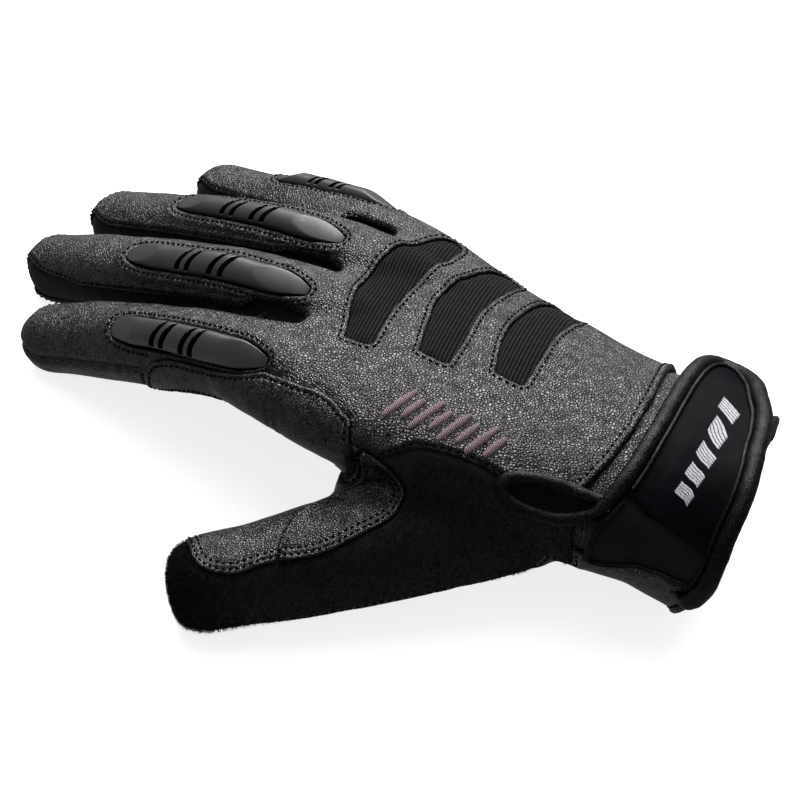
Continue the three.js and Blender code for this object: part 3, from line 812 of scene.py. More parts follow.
THREAD_SIDES = 6
THREAD_STATIONS = 7
THREAD_TAPER = 0.55
THREAD_RAISED = 0.8
STITCH_RADIUS = 0.3
STITCH_SUNK = 0.6


def thread_shape(length, radius, sunk):
    """One stitch: a short thread that dips at both ends, along its own x axis."""
    rings = []
    for place in np.linspace(-0.5, 0.5, THREAD_STATIONS):
        girth = radius * (1 - (2 * abs(place)) ** 3 * THREAD_TAPER)
        height = radius * THREAD_RAISED - sunk * (2 * abs(place)) ** 2.5
        angle = 2 * math.pi * np.arange(THREAD_SIDES) / THREAD_SIDES
        rings.append(np.stack([
            np.full(THREAD_SIDES, place * length),
            girth * np.cos(angle),
            height + girth * np.sin(angle),
        ], 1))
    return tube_mesh(np.array(rings))


def threads_at(centres, along, normals, shape, shape_faces):
    """The thread shape laid at each place, as a list of meshes."""
    side = unit(np.cross(normals, along))
    parts = []
    for c, t, s, n in zip(centres, along, side, normals):
        turned = shape[:, :1] * t + shape[:, 1:2] * s + shape[:, 2:] * n
        parts.append((turned + c, shape_faces))
    return parts


def stitches(lines, pitch, length):
    """Threads along lines, as a list of meshes."""
    shape, shape_faces = thread_shape(length, STITCH_RADIUS, STITCH_SUNK)
    parts = []
    for line in lines:
        places = spaced(line, pitch)
        if places is not None:
            parts += threads_at(*places, shape, shape_faces)
    return parts


def sweep(centres, ups, radii, segments=14, flatten=1.0):
    """A closed round tube along centres, flattened along its up direction."""
    heading = directions(centres)
    side = unit(np.cross(ups, heading))
    up = np.cross(heading, side)
    angle = 2 * math.pi * np.arange(segments) / segments
    radii = np.broadcast_to(radii, len(centres))
    across = (np.cos(angle)[None] * radii[:, None])[..., None] * side[:, None]
    high = (np.sin(angle)[None] * radii[:, None] * flatten)[..., None] * up[:, None]
    return tube_mesh(centres[:, None] + across + high)


# Where the seams run

paths = {name: finger_path(name) for name in FINGERS}
hand = hand_path()
hand_rows_by_x = hand[np.argsort(hand[:, 0])]
finger_lines = {name: along_axis(path, 1) for name, path in paths.items()}
finger_heights = {name: along_axis(path, 2) for name, path in paths.items()}


# Where the side seam passes from the fingers to the hand, along
SEAM_BLEND = (-0.28, 0.05)


def finger_y(name, x):
    return np.interp(x, *finger_lines[name])


def seam_height(points):
    """Height of the side seam: the fingers' middles ahead, the hand's middle behind."""
    x, y, _ = points.T
    start, stop = SEAM_BLEND
    share = smoothstep(start * PALM_LENGTH, stop * PALM_LENGTH, x)
    middle = np.interp(x, *along_axis(hand, 2))
    centre = np.interp(x, *along_axis(hand, 1))
    roll = np.radians(np.interp(x, *along_axis(hand, 5)))
    knots = []
    heights = []
    for name in FINGERS:
        knot = finger_y(name, x)
        on_finger = np.interp(x, *finger_heights[name])
        on_hand = middle + (knot - centre) * np.tan(roll)
        knots.append(knot)
        heights.append(on_finger + share * (on_hand - on_finger))
    result = heights[0].copy()
    for i in range(3):
        part = np.clip((y - knots[i]) / (knots[i + 1] - knots[i]), 0, 1)
        result = np.where(y > knots[i], heights[i] + part * (heights[i + 1] - heights[i]), result)
    return result


def inside_by(u, v, outline):
    """Distance of each (u, v) from an outline, positive inside it."""
    best = np.full(len(u), 1e9)
    inside = np.zeros(len(u), bool)
    for (au, av), (bu, bv) in zip(outline, np.roll(outline, -1, axis=0)):
        du, dv = bu - au, bv - av
        t = np.clip(((u - au) * du + (v - av) * dv) / (du * du + dv * dv + 1e-12), 0, 1)
        best = np.minimum(best, np.hypot(u - au - t * du, v - av - t * dv))
        crosses = (av > v) != (bv > v)
        slope = du / dv if dv else 0.0
        inside ^= crosses & (u < au + (v - av) * slope)
    return np.where(inside, best, -best)


def plan(rows):
    return np.array(rows) * [PALM_LENGTH, PALM_HALF_WIDTH]


def profile(rows):
    return np.array(rows) * [PALM_LENGTH, PALM_HEIGHT]


def above_line(u, v, line):
    return v - np.interp(u, line[:, 0], line[:, 1])


def over_seam(points):
    return points[:, 2] - seam_height(points)


def guard_plane(name):
    """Start and length of a guard, with its directions along, across and into the finger."""
    finger, front, rear, front_across, rear_across, lean = GUARDS[name]
    ends = []
    for along, across in ((front, front_across), (rear, rear_across)):
        x = along * FINGER_REACH
        z = np.interp(x, *finger_heights[finger]) + GUARD_RAISED * FINGER_HALF_WIDTH
        ends.append(np.array([x, across * PALM_HALF_WIDTH, z]))
    along = unit(ends[1] - ends[0])
    lean = math.radians(lean)
    inwards = np.array([0, math.sin(lean), -math.cos(lean)])
    inwards = unit(inwards - along * (inwards @ along))
    side = np.cross(-inwards, along)
    return ends[0], np.linalg.norm(ends[1] - ends[0]), along, side, inwards


def guard_outline(length, grow):
    """A guard's outline in its plane, along and across."""
    rows = smooth_rows(GUARD_OUTLINE, 5)
    reach = rows[:, 0] * (length + 2 * grow) - grow
    half = np.maximum(rows[:, 1] * GUARD_HALF_WIDTH + grow, 0.3)
    right = np.stack([reach, -half], 1)
    left = np.stack([reach, half], 1)
    return np.vstack([right, left[::-1]])


def in_guard_window(name, points, grow):
    """Distance inside a guard's outline, seen into the finger."""
    start, length, along, side, inwards = guard_plane(name)
    away = points - start
    flat = inside_by(away @ along, away @ side, guard_outline(length, grow))
    return np.where(np.abs(away @ inwards) < GUARD_WINDOW_DEPTH, flat, -9.0)


def guard_field(name):
    def field(points):
        window = in_guard_window(name, points, GUARD_GAP)
        return np.minimum(window, over_seam(points) - GUARD_ABOVE_SEAM)
    return field


def groove_y(first, second, shift, x):
    middle = (finger_y(first, x) + finger_y(second, x)) / 2
    return middle + shift * smoothstep(GROOVE_SHIFT_START, GROOVE_SHIFT_STOP, x)


def fourchette_field(first, second, end, shift):
    """Side walls of two fingers, running up into the end of the groove between them."""
    inset = FOURCHETTE_INSET * FINGER_HALF_WIDTH

    def field(points):
        x, y, _ = points.T
        column = np.minimum(y - finger_y(first, x) - inset, finger_y(second, x) - inset - y)
        column = column + abs(shift)
        from_groove = np.abs(y - groove_y(first, second, shift, x))
        start, stop = FOURCHETTE_NARROWS
        half_width = FOURCHETTE_HALF_WIDTH - FOURCHETTE_NARROWING * smoothstep(start, stop, x)
        narrow = half_width - from_groove
        above = over_seam(points)
        rise = FOURCHETTE_RISE * smoothstep(end - GROOVE_LENGTH, end - 8, x)
        band = np.minimum(FOURCHETTE_HALF_HEIGHT + rise - above, FOURCHETTE_HALF_HEIGHT + above)
        sides = soft_min(soft_min(column, band, 2.0), narrow, 2.0)
        return soft_min(sides, end - x, 3.0)
    return field


def side_patch_field(points):
    x, y, z = points.T
    inner = plan(SIDE_PATCH_INNER)
    beside = np.interp(x, inner[:, 0], inner[:, 1]) - y
    clear_of_guard = -GUARD_MARGIN - in_guard_window("guard_index", points, GUARD_GAP)
    patch = soft_min(inside_by(x, z, closed_curve(profile(SIDE_PATCH_OUTLINE), 4)), beside, 2.0)
    return np.minimum(patch, clear_of_guard)


def under_thumb(points):
    return above_line(points[:, 0], points[:, 2], profile(UNDER_THUMB_LINE))


def thumb_patch_field(points):
    x, y, z = points.T
    top = profile(THUMB_PATCH_TOP)
    below_top = np.minimum(np.interp(x, top[:, 0], top[:, 1]) - z, top[-1, 0] - x)
    flat = inside_by(x, y, closed_curve(plan(THUMB_PATCH_OUTLINE), 4))
    return soft_min(np.minimum(flat, under_thumb(points)), below_top, 1.5)


def thumb_back_field(points):
    x, y, _ = points.T
    flat = inside_by(x, y, closed_curve(plan(THUMB_BACK_OUTLINE), 4))
    return np.minimum(flat, under_thumb(points))


def flex_outline(name):
    """A knit window in plan, nearly square at its end towards the thumb."""
    rows = np.array(FLEX_PANELS[name])
    near_end = rows[0] + FLEX_CORNER * (rows[1] - rows[0])
    rows = np.vstack([rows[:1], near_end, rows[1:]])
    fingers = np.stack([rows[:, 1], rows[:, 0]], 1)
    cuff = np.stack([rows[:, 2], rows[:, 0]], 1)
    return closed_curve(plan(np.vstack([cuff, fingers[::-1]])), 6)


def flex_field(name):
    outline = flex_outline(name)

    def field(points):
        flat = inside_by(points[:, 0], points[:, 1], outline)
        return np.minimum(flat, over_seam(points) - FLEX_ABOVE_SEAM)
    return field


def cuff_field(points):
    x, y, _ = points.T
    line = plan(HEM_LINE)[::-1]
    ahead = x - np.interp(y, line[:, 1], line[:, 0])
    return np.minimum(ahead, over_seam(points))


def palm_field(points):
    return -over_seam(points)


def hand_at(x, count=3):
    return columns_at(x, hand_rows_by_x[:, 0], hand_rows_by_x, count)


def on_hand(x, turn, offset):
    """Points of the hand's smooth surface at x and a turn in degrees, moved out by offset."""
    heading = unit(hand_at(x + 1) - hand_at(x - 1))
    return section_points(hand_at(x, 6), heading, np.radians(turn), offset)


SLIT_CENTRE = np.array([60.5, -32.6, 43.7])
SLIT_LONG_AXIS = np.array([0.93, 0.34, -0.11])
SLIT_OUTWARD = np.array([0, -0.72, 0.7])
SLIT_DEPTH = 9.0


def slit_field(points):
    """The slit at the thumb's side of the wrist, inside the rolled edge round it."""
    long_axis = unit(SLIT_LONG_AXIS)
    across = unit(np.cross(SLIT_OUTWARD, long_axis))
    rows = smooth_rows(np.array(SLIT_BINDING_PATH) * [PALM_LENGTH, 1], 4)
    edge = on_hand(rows[:, 0], rows[:, 1], 1.0)
    outline = np.stack([edge @ long_axis, edge @ across], 1)
    flat = inside_by(points @ long_axis, points @ across, outline)
    depth = np.abs((points - SLIT_CENTRE) @ unit(SLIT_OUTWARD))
    return np.where(depth < SLIT_DEPTH, flat - 0.3, -1.0)


def beyond_cuff_end(points):
    x, y, z = points.T
    end = hand[-1 - PATH_STEPS]
    trim = CUFF_TRIM + CUFF_UNDERCUT * np.maximum(0, CUFF_UNDERCUT_BELOW - z)
    return x + trim - (end[0] + CUFF_LEAN_ACROSS * (y - end[1]) + CUFF_LEAN_UP * (z - end[2]))


# Ribs of the knit: spacing, direction across them in plan, height
RIB_PITCH = 1.05
RIB_DIRECTION = np.array([0.983, 0.185])
RIB_DEPTH = 0.42


# Materials

class Nodes:
    """A short way to write a node material, with its colours and bumps."""

    def __init__(self, name):
        self.material = bpy.data.materials.new(name)
        self.material.use_nodes = True
        self.tree = self.material.node_tree
        self.shader = self.tree.nodes["Principled BSDF"]
        self.coords = self.tree.nodes.new("ShaderNodeTexCoord").outputs["Object"]

    def add(self, kind, **values):
        node = self.tree.nodes.new("ShaderNode" + kind)
        for key, value in values.items():
            if hasattr(node, key):
                setattr(node, key, value)
            else:
                node.inputs[key.replace("_", " ").title()].default_value = value
        return node

    def link(self, source, target):
        self.tree.links.new(source, target)

    def texture(self, kind, scale, **values):
        node = self.add(kind, **values)
        node.inputs["Scale"].default_value = scale
        self.link(self.coords, node.inputs["Vector"])
        return node

    def ramp(self, source, stops):
        node = self.add("ValToRGB")
        elements = node.color_ramp.elements
        while len(elements) < len(stops):
            elements.new(0.5)
        for element, (place, colour) in zip(elements, stops):
            element.position = place
            element.color = (*colour, 1)
        self.link(source, node.inputs["Fac"])
        return node.outputs["Color"]

    def spread(self, source, low, high, start=0.0, stop=1.0):
        node = self.add("MapRange")
        node.inputs["From Min"].default_value = start
        node.inputs["From Max"].default_value = stop
        node.inputs["To Min"].default_value = low
        node.inputs["To Max"].default_value = high
        self.link(source, node.inputs["Value"])
        return node.outputs["Result"]

    def math(self, operation, first, second):
        node = self.add("Math", operation=operation)
        for source, target in zip((first, second), node.inputs):
            if isinstance(source, (int, float)):
                target.default_value = source
            else:
                self.link(source, target)
        return node.outputs[0]

    def bump(self, height, distance, strength=1.0, after=None):
        node = self.add("Bump")
        node.inputs["Distance"].default_value = distance * MM
        node.inputs["Strength"].default_value = strength
        self.link(height, node.inputs["Height"])
        if after is not None:
            self.link(after, node.inputs["Normal"])
        return node.outputs["Normal"]

    def finish(self, colour, roughness, normal=None, **fixed):
        for source, socket in ((colour, "Base Color"), (roughness, "Roughness")):
            if isinstance(source, (int, float)):
                self.shader.inputs[socket].default_value = source
            elif isinstance(source, tuple):
                self.shader.inputs[socket].default_value = (*source, 1)
            else:
                self.link(source, self.shader.inputs[socket])
        if normal is not None:
            self.link(normal, self.shader.inputs["Normal"])
        for key, value in fixed.items():
            self.shader.inputs[key.replace("_", " ")].default_value = value
        return self.material


# The slightly warm shine of the leather
LEATHER_SHINE = (1.0, 0.95, 0.985, 1.0)


def leather(name, grain_size, grain_depth, dark, light, roughness, gloss=0.35):
    """Goat leather: fine uneven pebbles with painted shade in the cracks between them and a painted
    highlight on their tops, and a soft shine.
    """
    n = Nodes(name)
    warp = n.texture("TexNoise", 420 / grain_size)
    shift = n.add("VectorMath", operation="SCALE")
    n.link(warp.outputs["Color"], shift.inputs[0])
    shift.inputs["Scale"].default_value = 0.00025 * grain_size
    moved = n.add("VectorMath", operation="ADD")
    n.link(n.coords, moved.inputs[0])
    n.link(shift.outputs[0], moved.inputs[1])
    pebbles = n.add("TexVoronoi", feature="DISTANCE_TO_EDGE")
    pebbles.inputs["Scale"].default_value = 1000 / grain_size
    n.link(moved.outputs[0], pebbles.inputs["Vector"])
    from_crack = pebbles.outputs["Distance"]
    fine = n.texture("TexNoise", 3400, detail=2.0)
    patches = n.texture("TexNoise", 60, detail=5.0)
    worn = n.texture("TexNoise", 300, detail=3.0)
    height = n.math("ADD", n.spread(from_crack, 0.0, 1.0, 0.0, 0.3),
                    n.math("MULTIPLY", fine.outputs["Fac"], 0.5))
    # Colour runs from near black in the cracks to lighter on the pebble tops: painted shade and
    # painted highlight.
    colour = n.ramp(from_crack, [(0.02, dark), (0.2, light)])
    tint = n.add("Mix", data_type="RGBA", blend_type="MULTIPLY")
    tint.inputs["Factor"].default_value = 1.0
    n.link(colour, tint.inputs["A"])
    n.link(n.ramp(patches.outputs["Fac"], [(0.3, (0.5, 0.47, 0.49)), (0.7, (1, 1, 1))]),
           tint.inputs["B"])
    rough = n.spread(patches.outputs["Fac"], roughness + 0.08, roughness - 0.08, 0.3, 0.7)
    # Dull in the cracks, so that only the pebbles shine, some more than others
    shine = n.math("MULTIPLY", n.spread(from_crack, 0.12 * gloss, gloss, 0.01, 0.17),
                   n.spread(worn.outputs["Fac"], 0.6, 1.1, 0.35, 0.65))
    n.link(shine, n.shader.inputs["Specular IOR Level"])
    normal = n.bump(height, grain_depth)
    return n.finish(tint.outputs["Result"], rough, normal, Specular_Tint=LEATHER_SHINE)


def cloth(name, dark, light, thread, depth, roughness, sheen, gloss=0.12):
    """Plain woven or knitted cloth with fine threads and a dusty sheen, darker in the hollows between
    the threads as painted shade.
    """
    n = Nodes(name)
    weave = n.texture("TexVoronoi", 1000 / thread, feature="F1")
    fuzz = n.texture("TexNoise", 3200, detail=2.0)
    height = n.math("ADD", n.math("MULTIPLY", weave.outputs["Distance"], -1.0),
                    n.math("MULTIPLY", fuzz.outputs["Fac"], 0.6))
    # Darker where the weave is lower and lighter on the thread tops: painted shade.
    colour = n.ramp(height, [(0.0, dark), (0.6, light)])
    normal = n.bump(height, depth)
    return n.finish(colour, roughness, normal, Sheen_Weight=sheen, Sheen_Roughness=0.5,
                    Specular_IOR_Level=gloss)


def ribbed_knit():
    """Knit with lighter rib tops (painted highlight) and black valleys (painted shade), in step with
    the ribs of the mesh.
    """
    n = Nodes("ribbed_knit")
    along = n.add("VectorMath", operation="DOT_PRODUCT")
    n.link(n.coords, along.inputs[0])
    along.inputs[1].default_value = (*(RIB_DIRECTION * math.pi / (RIB_PITCH * MM)), 0)
    start = float(RIB_DIRECTION @ FRAME_SHIFT[:2]) * math.pi / RIB_PITCH
    wave = n.math("SINE", n.math("SUBTRACT", along.outputs["Value"], start), 0)
    rib = n.math("ABSOLUTE", wave, 0)
    loops = n.texture("TexVoronoi", 2700, feature="F1")
    height = n.math("ADD", n.math("MULTIPLY", rib, 1.0),
                    n.math("MULTIPLY", loops.outputs["Distance"], -0.45))
    # Black in the valleys and lighter on the rib tops: painted shade and painted highlight.
    colour = n.ramp(height, [(0.35, (0.0004, 0.0004, 0.0004)), (0.95, (0.014, 0.0145, 0.016))])
    normal = n.bump(height, 0.3)
    return n.finish(colour, 0.7, normal, Specular_IOR_Level=0.06, Sheen_Weight=0.01)


def satin_cloth():
    n = Nodes("satin_cloth")
    threads = n.add("Mapping")
    threads.inputs["Scale"].default_value = (1.0, 0.12, 1.0)
    n.link(n.coords, threads.inputs["Vector"])
    fine = n.add("TexNoise", detail=2.0)
    fine.inputs["Scale"].default_value = 4200
    n.link(threads.outputs[0], fine.inputs["Vector"])
    folds = n.texture("TexNoise", 110, detail=3.0)
    # Darker in the hollows of the folds and lighter on their crests: painted shade.
    navy = [(0.3, (0.0012, 0.0013, 0.0019)), (0.75, (0.0028, 0.003, 0.004))]
    colour = n.ramp(folds.outputs["Fac"], navy)
    normal = n.bump(fine.outputs["Fac"], 0.05, 0.6, n.bump(folds.outputs["Fac"], 0.4, 0.5))
    return n.finish(colour, 0.45, normal, Specular_IOR_Level=0.012, Anisotropic=0.4)


def rubber(name, colour, roughness, gloss=0.45):
    n = Nodes(name)
    cloudy = n.texture("TexNoise", 160, detail=3.0)
    grit = n.texture("TexNoise", 5200, detail=1.0)
    dark = tuple(0.82 * c for c in colour)
    shade = n.ramp(cloudy.outputs["Fac"], [(0.3, dark), (0.7, colour)])
    rough = n.spread(cloudy.outputs["Fac"], roughness - 0.05, roughness + 0.07)
    normal = n.bump(grit.outputs["Fac"], 0.02, 0.6)
    return n.finish(shade, rough, normal, Specular_IOR_Level=gloss)


def thread_material(name, dark, light, roughness=0.5, gloss=0.35):
    n = Nodes(name)
    twist = n.texture("TexWave", 2100, wave_type="BANDS", distortion=1.5)
    # Darker in the grooves of the twist and lighter on its ridges: painted shade.
    colour = n.ramp(twist.outputs["Color"], [(0.2, dark), (0.8, light)])
    return n.finish(colour, roughness, n.bump(twist.outputs["Fac"], 0.06, 0.5),
                    Specular_IOR_Level=gloss)


def silver_print():
    n = Nodes("reflective_print")
    beads = n.texture("TexVoronoi", 3600, feature="F1")
    silver = [(0.1, (0.36, 0.37, 0.39)), (0.7, (0.16, 0.16, 0.18))]
    colour = n.ramp(beads.outputs["Distance"], silver)
    return n.finish(colour, 0.6, n.bump(beads.outputs["Distance"], 0.03, 0.5), Metallic=0.1)


looks = {
    # For each leather the first colour is painted shade in the cracks and the second the pebble tops
    # lightened as a painted highlight.
    "leather": leather("leather", 0.82, 0.18, (0.0004, 0.0004, 0.0004),
                       (0.005, 0.0047, 0.0049), 0.4, 0.95),
    "patch_leather": leather("patch_leather", 0.7, 0.11, (0.0005, 0.0005, 0.0004),
                             (0.0035, 0.0033, 0.003), 0.31, 0.85),
    "rolled_leather": leather("rolled_leather", 0.6, 0.05, (0.001, 0.001, 0.001),
                              (0.003, 0.003, 0.003), 0.4, 0.2),
    "lining": cloth("lining", (0.02, 0.012, 0.022), (0.06, 0.04, 0.065), 0.5, 0.15, 0.85, 0.1),
    "stretch_cloth": cloth("stretch_cloth", (0.002, 0.0021, 0.0023), (0.0058, 0.006, 0.0065),
                           0.4, 0.06, 0.8, 0.02),
    "ribbed_knit": ribbed_knit(),
    "terry_cloth": cloth("terry_cloth", (0.007, 0.0068, 0.0064), (0.036, 0.0345, 0.032),
                         0.55, 0.3, 0.95, 0.0, 0.05),
    "guard_rubber": rubber("guard_rubber", (0.02, 0.0205, 0.0225), 0.36),
    # Near-black matte rubber for the insides of the slits: painted shade.
    "guard_slit": rubber("guard_slit", (0.0004, 0.0004, 0.0004), 0.8, 0.03),
    "satin_cloth": satin_cloth(),
    "thread": thread_material("thread", (0.0006, 0.0006, 0.0006), (0.003, 0.003, 0.003),
                              0.7, 0.04),
    "mauve_thread": thread_material("mauve_thread", (0.1, 0.062, 0.08), (0.24, 0.165, 0.2),
                                    0.4),
    "print": silver_print(),
}


# The skin: one fused surface, cut into its pieces

def fused_skin():
    """The limbs melted together: points, edges and triangles."""
    parts = [loft(hand, HAND_SEGMENTS), loft(thumb_path(), FINGER_SEGMENTS, TIP_FULLNESS)]
    parts += [ball(middle, reach) for middle, reach in FILLINGS]
    parts += [loft(path, FINGER_SEGMENTS, TIP_FULLNESS) for path in paths.values()]
    points, faces = joined(parts)
    mesh = bpy.data.meshes.new("limbs")
    mesh.from_pydata(points.tolist(), [], faces.tolist())
    limbs = placed("limbs", mesh)
    fuse = limbs.modifiers.new("fuse", "REMESH")
    fuse.mode = "VOXEL"
    fuse.voxel_size = VOXEL
    fine = final_mesh(limbs)
    bpy.data.objects.remove(limbs)
    bpy.data.meshes.remove(mesh)
    points = np.empty(3 * len(fine.vertices))
    fine.vertices.foreach_get("co", points)
    edges = np.empty(2 * len(fine.edges), np.int32)
    fine.edges.foreach_get("vertices", edges)
    fine.calc_loop_triangles()
    triangles = np.empty(3 * len(fine.loop_triangles), np.int32)
    fine.loop_triangles.foreach_get("vertices", triangles)
    bpy.data.meshes.remove(fine)
    return points.reshape(-1, 3), edges.reshape(-1, 2), triangles.reshape(-1, 3).astype(np.int64)


# The seam across the thumb's leather: across the glove and along it, in millimetres
THUMB_SEAM = [
    (-40, 16.0), (-48, 9.0), (-52.8, 4.9), (-56, 2.9), (-60, 2.1), (-64, 2.3), (-68, 3.3),
    (-72, 4.6), (-84, 9.0),
]
THUMB_SEAM_BAND = 2.5


def from_thumb_seam(points):
    line = smooth_rows(THUMB_SEAM, 6)[::-1]
    return points[:, 0] - np.interp(points[:, 1], line[:, 0], line[:, 1])


# Places where limbs meet and the skin runs in a soft hollow: x, y, z, radius
SOFT_JOINTS = [
    (-8, -16, 50, 13),
    (-12, 11, 50, 13),
    (-8, 36, 45, 16),
    (-22, -16, 26, 13),
    (-27, 13, 26, 13),
    (-25, 40, 24, 13),
    (12, -45, 36, 16),
    (30, -42, 42, 15),
    (48, -38, 40, 14),
    (14, -42, 16, 16),
    (50, -38, 14, 14),
]


VOXEL_SMOOTHING = (0.5, 8, 1.04)
JOINT_SMOOTHING = 0.6
JOINT_ROUNDS = 26


def softened(points, edges):
    """The fused skin without its voxel steps and with soft hollows where limbs meet."""
    points = relax(points, edges, *VOXEL_SMOOTHING)
    weight = np.zeros(len(points))
    for x, y, z, radius in SOFT_JOINTS:
        away = np.linalg.norm(points - [x, y, z], axis=1)
        weight = np.maximum(weight, 1 - smoothstep(0.45 * radius, radius, away))
    return relax(points, edges, JOINT_SMOOTHING * weight, JOINT_ROUNDS)


def resting(points):
    """Leather flattened where it meets the surface below."""
    z = points[:, 2]
    squeezed = REST_SOFTNESS * np.logaddexp(0, z / REST_SOFTNESS)
    points[:, 2] = np.where(z < 3 * REST_SOFTNESS, squeezed + FLOOR_GAP, z)
    return points


def keep_above_floor(points):
    points[:, 2] = np.maximum(points[:, 2], FLOOR_GAP)


# Creases in the skin: from, to, half width, depth (less than zero is a swelling)
CREASES = [
    ((-60, -30, 40), (-58, -16, 46), 2.2, 0.5),
    ((-84, -28, 26), (-82, -14, 34), 2.0, 0.45),
    ((-58, -8, 48), (-56, 9, 48), 2.2, 0.4),
    ((-88, -5, 32), (-86, 13, 33), 2.0, 0.45),
    ((-56, 20, 46), (-54, 36, 44), 2.2, 0.4),
    ((-84, 24, 31), (-82, 40, 30), 2.0, 0.45),
    ((-8, -36, 52), (2, -40, 40), 2.4, 0.6),
    ((4, -46, 40), (16, -44, 42), 2.6, 0.8),
    ((8, -56, 33), (20, -58, 30), 2.4, 0.5),
    ((56, -30, 46), (44, -38, 34), 3.0, 0.6),
    ((52, -12, 52), (60, -30, 46), 3.5, 0.5),
    ((36, 36, 42), (44, 30, 46), 3.0, 0.5),
    ((30, -20, 12), (10, 20, 18), 3.5, 0.9),
    ((24, -30, 10), (50, 0, 10), 3.0, 0.7),
    ((-10, -22, 26), (-8, 40, 22), 3.0, 0.8),
]


CREASE_GAIN = 2.0
CREASE_LIP = 0.55
CREASE_LIP_REACH = 2.1

# Unevenness of soft leather: height, size of the features, seed
UNEVENNESS = [(0.35, 17.0, 1), (0.16, 7.0, 2), (0.05, 2.6, 3)]


def creased(points):
    """How far creases, unevenness and the grooves between fingers move each point outwards."""
    moved = sum(height * noise(points, size, seed) for height, size, seed in UNEVENNESS)
    for start, end, half_width, depth in CREASES:
        start, end = np.array(start, float), np.array(end, float)
        along = end - start
        share = np.clip((points - start) @ along / (along @ along), 0, 1)
        away = np.linalg.norm(points - start - share[:, None] * along, axis=1)
        taper = np.sin(np.pi * np.clip(0.12 + 0.76 * share, 0, 1))
        lip = ridge(away, CREASE_LIP, 0, CREASE_LIP_REACH * half_width)
        moved -= CREASE_GAIN * depth * taper * (ridge(away, 1, 0, half_width) - lip)
    x, y, _ = points.T
    for first, second, end, shift in GROOVES:
        reach = smoothstep(end - GROOVE_LENGTH, end - 9, x)
        reach *= 1 - smoothstep(end - 6, end + 2.5, x)
        valley = ridge(y - groove_y(first, second, shift, x), GROOVE_DEPTH, 0, GROOVE_HALF_WIDTH)
        moved -= reach * valley * smoothstep(0, 8, over_seam(points))
    resting_on_floor = 1 - smoothstep(0.4, 4.0, points[:, 2])
    return moved * (1 - resting_on_floor)


def cut_skin():
    points, edges, triangles = fused_skin()
    points = softened(points, edges)
    points = resting(points)
    unnamed = np.full(len(triangles), "", "U40")
    surface = (points, triangles, unnamed, np.zeros(len(points), bool))
    surface = cut_out(surface, beyond_cuff_end, "off")
    for name in GUARDS:
        surface = cut_out(surface, guard_field(name), "under_" + name)
    for first, second, end, shift in GROOVES:
        name = f"fourchette_{first}_{second}"
        surface = cut_out(surface, fourchette_field(first, second, end, shift), name)
    surface = cut_out(surface, side_patch_field, "index_side_patch")
    surface = cut_out(surface, thumb_patch_field, "thumb_patch")
    surface = cut_out(surface, thumb_back_field, "thumb_back")
    surface = cut_out(surface, slit_field, "slit")
    for name in FLEX_PANELS:
        surface = cut_out(surface, flex_field(name), name)
    surface = cut_out(surface, cuff_field, "cuff_band")
    surface = cut_out(surface, palm_field, "palm")
    points, triangles, labels, _ = surface
    labels = np.where(labels == "", "hand_back", labels)
    return points, triangles, labels


def finest_spots(points, triangles, labels):
    """The knit and the line of the thumb's cross seam have the shortest edges."""
    fine = np.zeros(len(points), bool)
    knit = np.char.startswith(labels.astype(str), "flex_panel")
    fine[triangles[knit].ravel()] = True
    on_patch = np.zeros(len(points), bool)
    on_patch[triangles[labels == "thumb_patch"].ravel()] = True
    return fine | on_patch & (np.abs(from_thumb_seam(points)) < THUMB_SEAM_BAND)


def surface_tree(points, triangles):
    return BVHTree.FromPolygons(points.tolist(), triangles.tolist())


points, triangles, labels = cut_skin()
points, triangles, labels = fine_surface(points, triangles, labels, finest_spots)
normals = vertex_normals(points, triangles)
points = points + normals * creased(points)[:, None]
keep_above_floor(points)
normals = vertex_normals(points, triangles)
skin_tree = surface_tree(points, triangles)
kept = labels != "off"
triangles, labels = triangles[kept], labels[kept]
borders = border_edges(triangles, labels, len(points))
names = [name for name in np.unique(labels) if not name.startswith(("under_", "slit"))]
pieces = {name: Piece(name, points, normals, triangles, labels, borders) for name in names}


# How the pieces lie over each other at their seams, in millimetres above the skin
LEVELS = {
    "hand_back": 0.0,
    "palm": 0.0,
    "thumb_back": -0.1,
    "thumb_patch": 0.5,
    "index_side_patch": 0.6,
    "fourchette": -0.9,
    "flex_panel": -0.75,
    "cuff_band": -0.9,
    "under_guard": -2.0,
    "slit": -2.0,
    "flap_patch": 0.35,
    "flap_body": 0.0,
    "open": 0.0,
}

# Stitch rows: piece, what lies beyond its border, distance from the border, pitch, length
STITCH_ROWS = [
    ("hand_back", "under_guard", 1.5, 2.1, 1.5),
    ("hand_back", "flex_panel", 1.5, 2.1, 1.5),
    ("hand_back", "cuff_band", 2.2, 2.2, 1.6),
    ("hand_back", "fourchette", 1.0, 2.0, 1.3),
    ("hand_back", "thumb_back", 1.3, 2.1, 1.5),
    ("index_side_patch", "hand_back", 1.5, 2.0, 1.5),
    ("index_side_patch", "palm", 1.5, 2.0, 1.5),
    ("thumb_patch", "thumb_back", 1.4, 1.9, 1.3),
    ("thumb_patch", "thumb_back", 3.1, 1.9, 1.3),
    ("thumb_patch", "index_side_patch", 1.4, 2.0, 1.4),
    ("palm", "index_side_patch", 1.4, 2.2, 1.6),
    ("palm", "thumb_back", 1.4, 2.2, 1.6),
    ("palm", "thumb_patch", 1.4, 2.2, 1.6),
    ("palm", "fourchette", 1.1, 2.1, 1.4),
    ("cuff_band", "open", 2.2, 2.4, 1.7),
    ("palm", "open", 2.2, 2.4, 1.7),
]


def level_of(name):
    for prefix, level in LEVELS.items():
        if name.startswith(prefix):
            return level
    raise ValueError(name)


